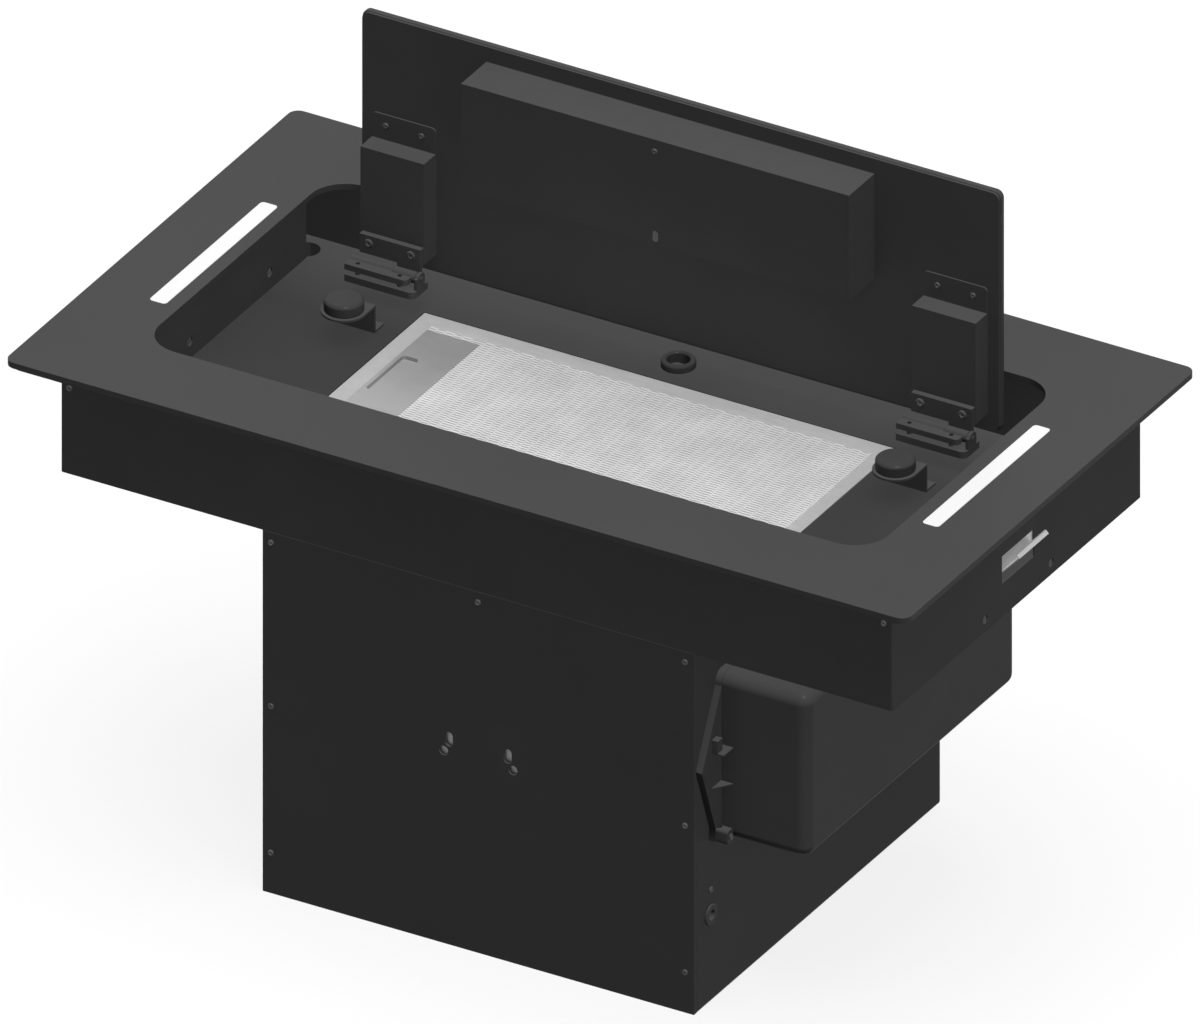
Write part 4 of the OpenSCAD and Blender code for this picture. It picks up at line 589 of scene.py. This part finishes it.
def soft_copy(node, width, segments=2, limit=32.0, smooth=35.0, leave=None):
    """A copy of a CAD node with rounded edges, but for those that `leave` takes."""
    source = NODES[node]
    piece = bpy.data.objects.new(node + "_rounded", source.data.copy())
    bpy.context.scene.collection.objects.link(piece)
    pick(piece)
    bpy.ops.object.mode_set(mode="EDIT")
    bpy.ops.mesh.select_all(action="SELECT")
    bpy.ops.mesh.remove_doubles(threshold=WELD)
    bpy.ops.mesh.dissolve_limited(angle_limit=math.radians(FLAT_ANGLE))
    bpy.ops.mesh.select_all(action="DESELECT")
    bpy.context.tool_settings.mesh_select_mode = (False, True, False)
    bpy.ops.mesh.edges_select_sharp(sharpness=math.radians(limit))
    bpy.ops.transform.edge_bevelweight(value=1.0)
    if leave:
        mark(piece, "EDGE", leave)
        bpy.ops.transform.edge_bevelweight(value=-1.0)
    bpy.ops.object.mode_set(mode="OBJECT")
    rounding = piece.modifiers.new("edge_rounding", "BEVEL")
    rounding.width = width
    rounding.segments = segments
    rounding.limit_method = "WEIGHT"
    rounding.miter_outer = "MITER_ARC"
    bpy.ops.object.modifier_apply(modifier=rounding.name)
    settle(piece, smooth)
    flatten(piece)
    return belongs(piece, SLOT_OF[node], source["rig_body"], node)


def islands(node):
    """The separate solids of a CAD node, each as a list of points."""
    mesh = NODES[node].data
    parent = {}

    def root(key):
        while parent[key] != key:
            parent[key] = parent[parent[key]]
            key = parent[key]
        return key

    spots = []
    for point in mesh.vertices:
        spot = tuple(round(v, 6) for v in point.co)
        spots.append(spot)
        parent.setdefault(spot, spot)
    for face in mesh.polygons:
        first = root(spots[face.vertices[0]])
        for index in face.vertices[1:]:
            parent[root(spots[index])] = first
    found = {}
    for spot in parent:
        found.setdefault(root(spot), []).append(Vector(spot))
    return list(found.values())


def box_of(points):
    """Lowest and highest corner of some points."""
    low = Vector([min(p[i] for p in points) for i in range(3)])
    high = Vector([max(p[i] for p in points) for i in range(3)])
    return low, high


# ---------------------------------------------------------------- operators


FLOOR_SIZE = 24.0
FLOOR_DROP = 0.5 * MM
FLOOR_BOUNCE = (0.05, 0.05, 0.05, 1.0)
WHITE = (1.0, 1.0, 1.0, 1.0)
ROOM_FILL = 0.12
ROOM_SEEN = 1.0
LAMP_REACH = 3.0
# Name, lean to the right and to the rear, power, spread in degrees, shadow
LAMPS = (("overhead_softbox", (0.10, -0.06), 0.5, 50.0, True),
         ("even_fill", (0.31, -0.205), 3.3, 20.0, False),
         ("rear_fill", (-3.0, 2.0), 0.7, 20.0, False))
VIEW_TILT = 60.0
VIEW_TURN = 30.0
VIEW_BACK = (0.4330127, -0.75, 0.5)
VIEW_MIDDLE = (0.0290, -0.0503, 0.3663)
VIEW_REACH = 4.0
VIEW_WIDTH = 1.0363
VIEW_FAR = 40.0


def direct_rays(tree):
    """1 for the rays that come from the camera, a gloss or through glass."""
    ray = add_node(tree, "LightPath")
    seen = add_node(tree, "Math", operation="MAXIMUM")
    shown = add_node(tree, "Math", operation="MAXIMUM")
    tree.links.new(ray.outputs["Is Camera Ray"], seen.inputs[0])
    tree.links.new(ray.outputs["Is Glossy Ray"], seen.inputs[1])
    tree.links.new(seen.outputs["Value"], shown.inputs[0])
    tree.links.new(ray.outputs["Is Transmission Ray"], shown.inputs[1])
    return shown.outputs["Value"]


class VENT_OT_stage(bpy.types.Operator):
    """Build the pale floor, the room, the three lights and the camera"""

    bl_idname = "vent.stage"
    bl_label = "Stage, light and camera"

    def execute(self, context):
        scene = context.scene
        scene.view_settings.view_transform = "Standard"
        deselect()
        bpy.ops.mesh.primitive_plane_add(size=FLOOR_SIZE, location=(0, 0, -FLOOR_DROP))
        floor = context.object
        floor.name = "floor"
        material = bpy.data.materials.new("pale_floor")
        material.use_nodes = True
        tree = material.node_tree
        tree.nodes.clear()
        out = tree.nodes.new("ShaderNodeOutputMaterial")
        shown = direct_rays(tree)
        pale = add_node(tree, "BsdfDiffuse")
        pale.inputs["Color"].default_value = (*colours().floor, 1.0)
        dark = add_node(tree, "BsdfDiffuse")
        dark.inputs["Color"].default_value = FLOOR_BOUNCE
        mix = add_node(tree, "MixShader")
        tree.links.new(shown, mix.inputs[0])
        tree.links.new(dark.outputs["BSDF"], mix.inputs[1])
        tree.links.new(pale.outputs["BSDF"], mix.inputs[2])
        tree.links.new(mix.outputs["Shader"], out.inputs["Surface"])
        floor.data.materials.append(material)

        world = bpy.data.worlds.new("pale_room")
        scene.world = world
        world.use_nodes = True
        tree = world.node_tree
        tree.nodes.clear()
        out = tree.nodes.new("ShaderNodeOutputWorld")
        shown = direct_rays(tree)
        fill = add_node(tree, "Background")
        fill.inputs["Strength"].default_value = ROOM_FILL
        plain = add_node(tree, "Background")
        plain.inputs["Strength"].default_value = ROOM_SEEN
        for part in (fill, plain):
            part.inputs["Color"].default_value = WHITE
        mix = add_node(tree, "MixShader")
        tree.links.new(shown, mix.inputs[0])
        tree.links.new(fill.outputs["Background"], mix.inputs[1])
        tree.links.new(plain.outputs["Background"], mix.inputs[2])
        tree.links.new(mix.outputs["Shader"], out.inputs["Surface"])

        for name, lean, power, spread, shadow in LAMPS:
            deselect()
            way = Vector((lean[0], lean[1], 1.0)).normalized()
            bpy.ops.object.light_add(type="SUN", location=way * LAMP_REACH,
                                     rotation=way.to_track_quat("Z", "Y").to_euler())
            lamp = context.object
            lamp.name = name
            lamp.data.energy = power
            lamp.data.angle = math.radians(spread)
            lamp.data.use_shadow = shadow

        deselect()
        bpy.ops.object.camera_add(
            location=Vector(VIEW_MIDDLE) + Vector(VIEW_BACK) * VIEW_REACH,
            rotation=(math.radians(VIEW_TILT), 0.0, math.radians(VIEW_TURN)))
        camera = context.object
        camera.name = "photo_camera"
        camera.data.type = "ORTHO"
        camera.data.ortho_scale = VIEW_WIDTH
        camera.data.clip_end = VIEW_FAR
        scene.camera = camera
        return {"FINISHED"}


class VENT_OT_glass(bpy.types.Operator):
    """Round the polished edges of the glass frame and of the flap"""

    bl_idname = "vent.glass"
    bl_label = "Glass"

    def execute(self, context):
        edge = sizes().glass_edge
        soft_copy("top_glass", edge, segments=4)
        soft_copy("flap_glass", edge, segments=4)
        return {"FINISHED"}


class VENT_OT_sheet_metal(bpy.types.Operator):
    """Round the folds and cut edges of the cases, the recess and the brackets"""

    bl_idname = "vent.sheet_metal"
    bl_label = "Sheet metal"

    def execute(self, context):
        edge = sizes().sheet_edge
        for node in ("upper_case", "lower_case", "front_panel", "bottom_panel", "recess_tray",
                     "recess_wall_left", "recess_wall_right", "recess_wall_front",
                     "recess_wall_rear", "bumper_bracket_left", "bumper_bracket_right",
                     "flap_backing", "flap_box", "blower_bracket"):
            soft_copy(node, edge, leave=self.at_seam)
        return {"FINISHED"}

    @staticmethod
    def at_seam(start, end):
        """Whether an edge lies where the two cases butt together."""
        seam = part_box("upper_case")[0].z
        return abs(start.z - seam) < SEAM_REACH and abs(end.z - seam) < SEAM_REACH


class VENT_OT_mouldings(bpy.types.Operator):
    """Round the edges of the plastic box on the right and of the duct's spigot"""

    bl_idname = "vent.mouldings"
    bl_label = "Mouldings"

    def execute(self, context):
        for node in ("electronics_base", "electronics_cover", "cable_clamp", "cable_gland",
                     "duct_spigot"):
            soft_copy(node, sizes().moulding_edge)
        return {"FINISHED"}


class VENT_OT_hinges(bpy.types.Operator):
    """Round the edges of the hinges and of their boxes on the flap"""

    bl_idname = "vent.hinges"
    bl_label = "Hinges"

    def execute(self, context):
        edge = sizes().sheet_edge
        for side in ("left", "right"):
            for part in ("hinge_base", "hinge_fixed_leaf", "hinge_leaf", "hinge_box"):
                soft_copy(f"{part}_{side}", edge * HINGE_EDGE_SHARE)
        return {"FINISHED"}


class VENT_OT_rubber(bpy.types.Operator):
    """Round the rubber stops and the cable grommet"""

    bl_idname = "vent.rubber"
    bl_label = "Rubber parts"

    def execute(self, context):
        edge = sizes().rubber_edge
        for node in ("bumper_left", "bumper_right"):
            soft_copy(node, edge, segments=4)
        soft_copy("tray_grommet", edge, segments=4)
        return {"FINISHED"}


class VENT_OT_filter(bpy.types.Operator):
    """Build the filter's expanded mesh and round its frame, handle and catch"""

    bl_idname = "vent.filter"
    bl_label = "Grease filter"

    def execute(self, context):
        soft_copy("filter_frame", sizes().sheet_edge)
        soft_copy("filter_handle", sizes().sheet_edge)
        soft_copy("filter_catch", sizes().sheet_edge)
        sheet = self.expanded_mesh(context)
        low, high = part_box("filter_mesh")
        plate_low, plate_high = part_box("filter_handle")
        cuts = [self.cut_out(context, sheet, *area) for area in (
            (plate_high.x, high.x, low.y, high.y),
            (low.x, plate_high.x, low.y, plate_low.y),
            (low.x, plate_high.x, plate_high.y, high.y))]
        bpy.data.objects.remove(sheet)
        belongs(join(cuts, "filter_expanded_mesh", MESH_SMOOTH), "aluminium_mesh", "filter")
        return {"FINISHED"}

    def cut_out(self, context, sheet, left, right, front, rear):
        """A copy of the flat sheet trimmed to a rectangle and given its thickness."""
        piece = sheet.copy()
        piece.data = sheet.data.copy()
        context.scene.collection.objects.link(piece)
        pick(piece)
        bpy.ops.object.mode_set(mode="EDIT")
        for place, way in (((left, 0, 0), (-1, 0, 0)), ((right, 0, 0), (1, 0, 0)),
                           ((0, front, 0), (0, -1, 0)), ((0, rear, 0), (0, 1, 0))):
            bpy.ops.mesh.select_all(action="SELECT")
            bpy.ops.mesh.bisect(plane_co=place, plane_no=way, clear_outer=True)
        bpy.ops.object.mode_set(mode="OBJECT")
        thick = piece.modifiers.new("thickness", "SOLIDIFY")
        thick.thickness = sizes().mesh_sheet
        thick.offset = 0.0
        bpy.ops.object.modifier_apply(modifier="thickness")
        bpy.ops.object.mode_set(mode="EDIT")
        bpy.ops.mesh.select_all(action="SELECT")
        bpy.ops.mesh.normals_make_consistent(inside=False)
        bpy.ops.object.mode_set(mode="OBJECT")
        return piece

    @staticmethod
    def lean_up(strand, left, step, centre, swing):
        """Raise a zigzag strand evenly from its front edge to its rear one."""
        size = sizes()
        for point in strand.data.vertices:
            turn = swing if round((point.co.x - left) / step) % 2 == 0 else -swing
            share = 0.5 + (point.co.y - (centre + turn)) / size.strand_width
            point.co.z = size.strand_lift * share

    def expanded_mesh(self, context):
        """The sheet of slit and stretched aluminium over the whole filter."""
        size = sizes()
        low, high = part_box("filter_mesh")
        left = low.x
        length = high.x - left
        cells = math.ceil(length / size.mesh_long) * 2
        step = size.mesh_long / 2.0
        deselect()
        bpy.ops.mesh.primitive_plane_add(size=1.0, location=(0, 0, 0))
        strand = context.object
        strand.name = "filter_expanded_mesh"
        strand.scale = (cells * step, size.strand_width, 1.0)
        strand.location = (left + cells * step / 2.0, 0.0, 0.0)
        bpy.ops.object.transform_apply(location=True, rotation=False, scale=True)
        mark(strand, "EDGE", lambda a, b: abs(a.y - b.y) < WELD)
        bpy.ops.mesh.subdivide(number_cuts=cells - 1)
        swing = size.mesh_short / 4.0 - size.strand_width / 2.0
        for sign in (1, -1):
            mark(strand, "VERT", lambda p: (round((p.x - left) / step) % 2 == 0) == (sign > 0))
            bpy.ops.transform.translate(value=(0, sign * swing, 0))
        bpy.ops.object.mode_set(mode="OBJECT")
        self.lean_up(strand, left, step, 0.0, swing)
        pick(strand)
        twin = strand.copy()
        twin.data = strand.data.copy()
        context.scene.collection.objects.link(twin)
        pick(twin)
        twin.scale = (1.0, -1.0, 1.0)
        twin.location = (0.0, size.mesh_short / 2.0, 0.0)
        bpy.ops.object.transform_apply(location=True, rotation=False, scale=True)
        self.lean_up(twin, left, step, size.mesh_short / 2.0, -swing)
        strand.select_set(True)
        context.view_layer.objects.active = strand
        bpy.ops.object.join()
        depth = high.y - low.y
        rows = math.ceil(depth / size.mesh_short) + 1
        repeat = strand.modifiers.new("rows", "ARRAY")
        repeat.use_relative_offset = False
        repeat.use_constant_offset = True
        repeat.constant_offset_displace = (0.0, size.mesh_short, 0.0)
        repeat.count = rows
        bpy.ops.object.modifier_apply(modifier="rows")
        strand.location = (0.0, low.y - size.mesh_short / 2.0, high.z + size.mesh_up)
        bpy.ops.object.transform_apply(location=True, rotation=False, scale=False)
        return strand


class VENT_OT_screws(bpy.types.Operator):
    """Model one domed screw with a six-lobed socket and set a copy at each place"""

    bl_idname = "vent.screws"
    bl_label = "Screws"

    def execute(self, context):
        pattern = self.master()
        self.screws(pattern, "case_screws", "case")
        self.screws(pattern, "flap_screws", "flap")
        self.leaf_screws(pattern)
        return {"FINISHED"}

    def leaf_screws(self, pattern):
        """Two sunk screws in the top of each hinge's fixed leaf, nearly black as painted shade in
        their countersinks.
        """
        size = sizes()
        copies = []
        for side in ("left", "right"):
            low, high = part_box("hinge_fixed_leaf_" + side)
            for way in (-1, 1):
                top = Vector((low.x + size.leaf_screw_mid + way * size.leaf_screw_pitch / 2.0,
                              low.y + size.leaf_screw_depth,
                              (low.z + high.z) / 2.0 + size.leaf_screw_up))
                copies.append(self.one(pattern, top, Vector((0, 0, 1)),
                                       size.leaf_screw_radius, size.leaf_screw_length))
        piece = belongs(join(copies, "hinge_leaf_screws", SCREW_SMOOTH), "black_screws", "case")
        # The nearly black finish is painted shade in the countersinks
        piece.data.materials[0] = FINISHES["sunk_screws_shaded"]

    def screws(self, pattern, node, body):
        copies = []
        for points in islands(node):
            low, high = box_of(points)
            middle = (low + high) / 2.0
            size = high - low
            axis = max(range(3), key=lambda i: abs(size[i] - size[(i + 1) % 3]) +
                       abs(size[i] - size[(i + 2) % 3]))
            others = [i for i in range(3) if i != axis]

            def reach(end):
                near = [p for p in points if abs(p[axis] - end[axis]) < CLOSE]
                return max(math.hypot(p[others[0]] - middle[others[0]],
                                      p[others[1]] - middle[others[1]]) for p in near)

            radii = (reach(low), reach(high))
            on_leaf = any(self.inside(middle, *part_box("hinge_leaf_" + side))
                          for side in ("left", "right"))
            widen = sizes().moving_screw_share if on_leaf else 1.0
            outward = 1 if radii[1] >= radii[0] else -1
            if abs(radii[0] - radii[1]) < SAME_RADIUS:
                outward = 1
            way = Vector((0, 0, 0))
            way[axis] = outward
            top = middle.copy()
            top[axis] = high[axis] if outward > 0 else low[axis]
            copies.append(self.one(pattern, top, way,
                                   max(size[others[0]], size[others[1]]) / 2.0 * widen,
                                   size[axis]))
        belongs(join(copies, node + "_detailed", SCREW_SMOOTH), SLOT_OF[node], body, node)

    @staticmethod
    def inside(point, low, high):
        """Whether a point lies over a box, seen along the screw's axis."""
        return low.x < point.x < high.x and low.z < point.z < high.z

    def one(self, pattern, top, way, radius, length):
        piece = bpy.data.objects.new("screw", pattern.copy())
        bpy.context.scene.collection.objects.link(piece)
        turn = way.to_track_quat("Z", "Y").to_matrix().to_4x4()
        stretch = Matrix.Diagonal((radius, radius, length, 1.0))
        piece.data.transform(Matrix.Translation(top) @ turn @ stretch)
        return piece

    SIDES = 24
    DOME_SHARE = 0.22
    DOME_DROP = 0.16
    SOCKET_DEPTH = 0.3
    LOBE_SHARE = 0.72
    LOBE_ANGLE = 60.0
    LOBE_REACH = 8.0
    FACES_UP = 0.9
    RIM_FROM = 0.9
    NEAR = 0.05

    def middle_face(self, centre, normal):
        """Tell whether a face is the upper one round the screw's axis."""
        return normal.z > self.FACES_UP and math.hypot(centre.x, centre.y) < self.NEAR

    def master(self):
        """A screw of unit radius and unit length, its head's top at the origin."""
        deselect()
        bpy.ops.mesh.primitive_cylinder_add(
            vertices=self.SIDES, radius=1.0, depth=1.0, location=(0, 0, -0.5))
        screw = bpy.context.object
        bpy.ops.object.transform_apply(location=True, rotation=False, scale=False)
        mark(screw, "FACE", lambda c, n: n.z > self.FACES_UP)
        bpy.ops.mesh.inset(thickness=self.DOME_SHARE)
        mark(screw, "VERT",
             lambda p: p.z > -self.NEAR and math.hypot(p.x, p.y) > self.RIM_FROM)
        bpy.ops.transform.translate(value=(0, 0, -self.DOME_DROP))
        mark(screw, "FACE", self.middle_face)
        bpy.ops.mesh.inset(thickness=1.0 - self.DOME_SHARE - sizes().socket_share)
        bpy.ops.object.mode_set(mode="OBJECT")
        ring = sizes().socket_share

        def valley(p):
            angle = math.degrees(math.atan2(p.y, p.x)) % self.LOBE_ANGLE
            off = abs(angle - self.LOBE_ANGLE / 2.0)
            return abs(math.hypot(p.x, p.y) - ring) < self.NEAR and off < self.LOBE_REACH

        mark(screw, "VERT", valley)
        bpy.ops.transform.resize(
            value=(self.LOBE_SHARE, self.LOBE_SHARE, 1.0), center_override=(0, 0, 0))
        mark(screw, "FACE", self.middle_face)
        bpy.ops.mesh.extrude_region_move(
            TRANSFORM_OT_translate={"value": (0, 0, -self.SOCKET_DEPTH)})
        bpy.ops.object.mode_set(mode="OBJECT")
        shape = screw.data
        bpy.data.objects.remove(screw)
        return shape


class VENT_OT_finishes(bpy.types.Operator):
    """Give every CAD node that still shows its finish"""

    bl_idname = "vent.finishes"
    bl_label = "Remaining finishes"

    def execute(self, context):
        for node in NODES:
            coat_node(node)
        return {"FINISHED"}


class VENT_PT_panel(bpy.types.Panel):
    """Lists the steps that dress the vent"""

    bl_idname = "VENT_PT_panel"
    bl_label = "Downdraft vent"
    bl_space_type = "VIEW_3D"
    bl_region_type = "UI"
    bl_category = "Downdraft vent"

    def draw(self, context):
        for step in STEPS:
            self.layout.operator(step.bl_idname)
        for group in (context.scene.vent_sizes, context.scene.vent_colours):
            box = self.layout.box()
            for key in group.bl_rna.properties.keys():
                if key not in ("rna_type", "name"):
                    box.prop(group, key)


STEPS = (VENT_OT_stage, VENT_OT_glass, VENT_OT_sheet_metal, VENT_OT_mouldings,
         VENT_OT_hinges, VENT_OT_rubber, VENT_OT_filter, VENT_OT_screws, VENT_OT_finishes)
CLASSES = (VentSizes, VentColours) + STEPS + (VENT_PT_panel,)


def register():
    for item in CLASSES:
        bpy.utils.register_class(item)
    bpy.types.Scene.vent_sizes = bpy.props.PointerProperty(type=VentSizes)
    bpy.types.Scene.vent_colours = bpy.props.PointerProperty(type=VentColours)


def unregister():
    del bpy.types.Scene.vent_colours
    del bpy.types.Scene.vent_sizes
    for item in reversed(CLASSES):
        bpy.utils.unregister_class(item)


def main():
    """Dress the vent."""
    register()
    bpy.ops.vent.stage()
    bpy.ops.vent.glass()
    bpy.ops.vent.sheet_metal()
    bpy.ops.vent.mouldings()
    bpy.ops.vent.hinges()
    bpy.ops.vent.rubber()
    bpy.ops.vent.filter()
    bpy.ops.vent.screws()
    bpy.ops.vent.finishes()


if __name__ == "__main__":
    main()
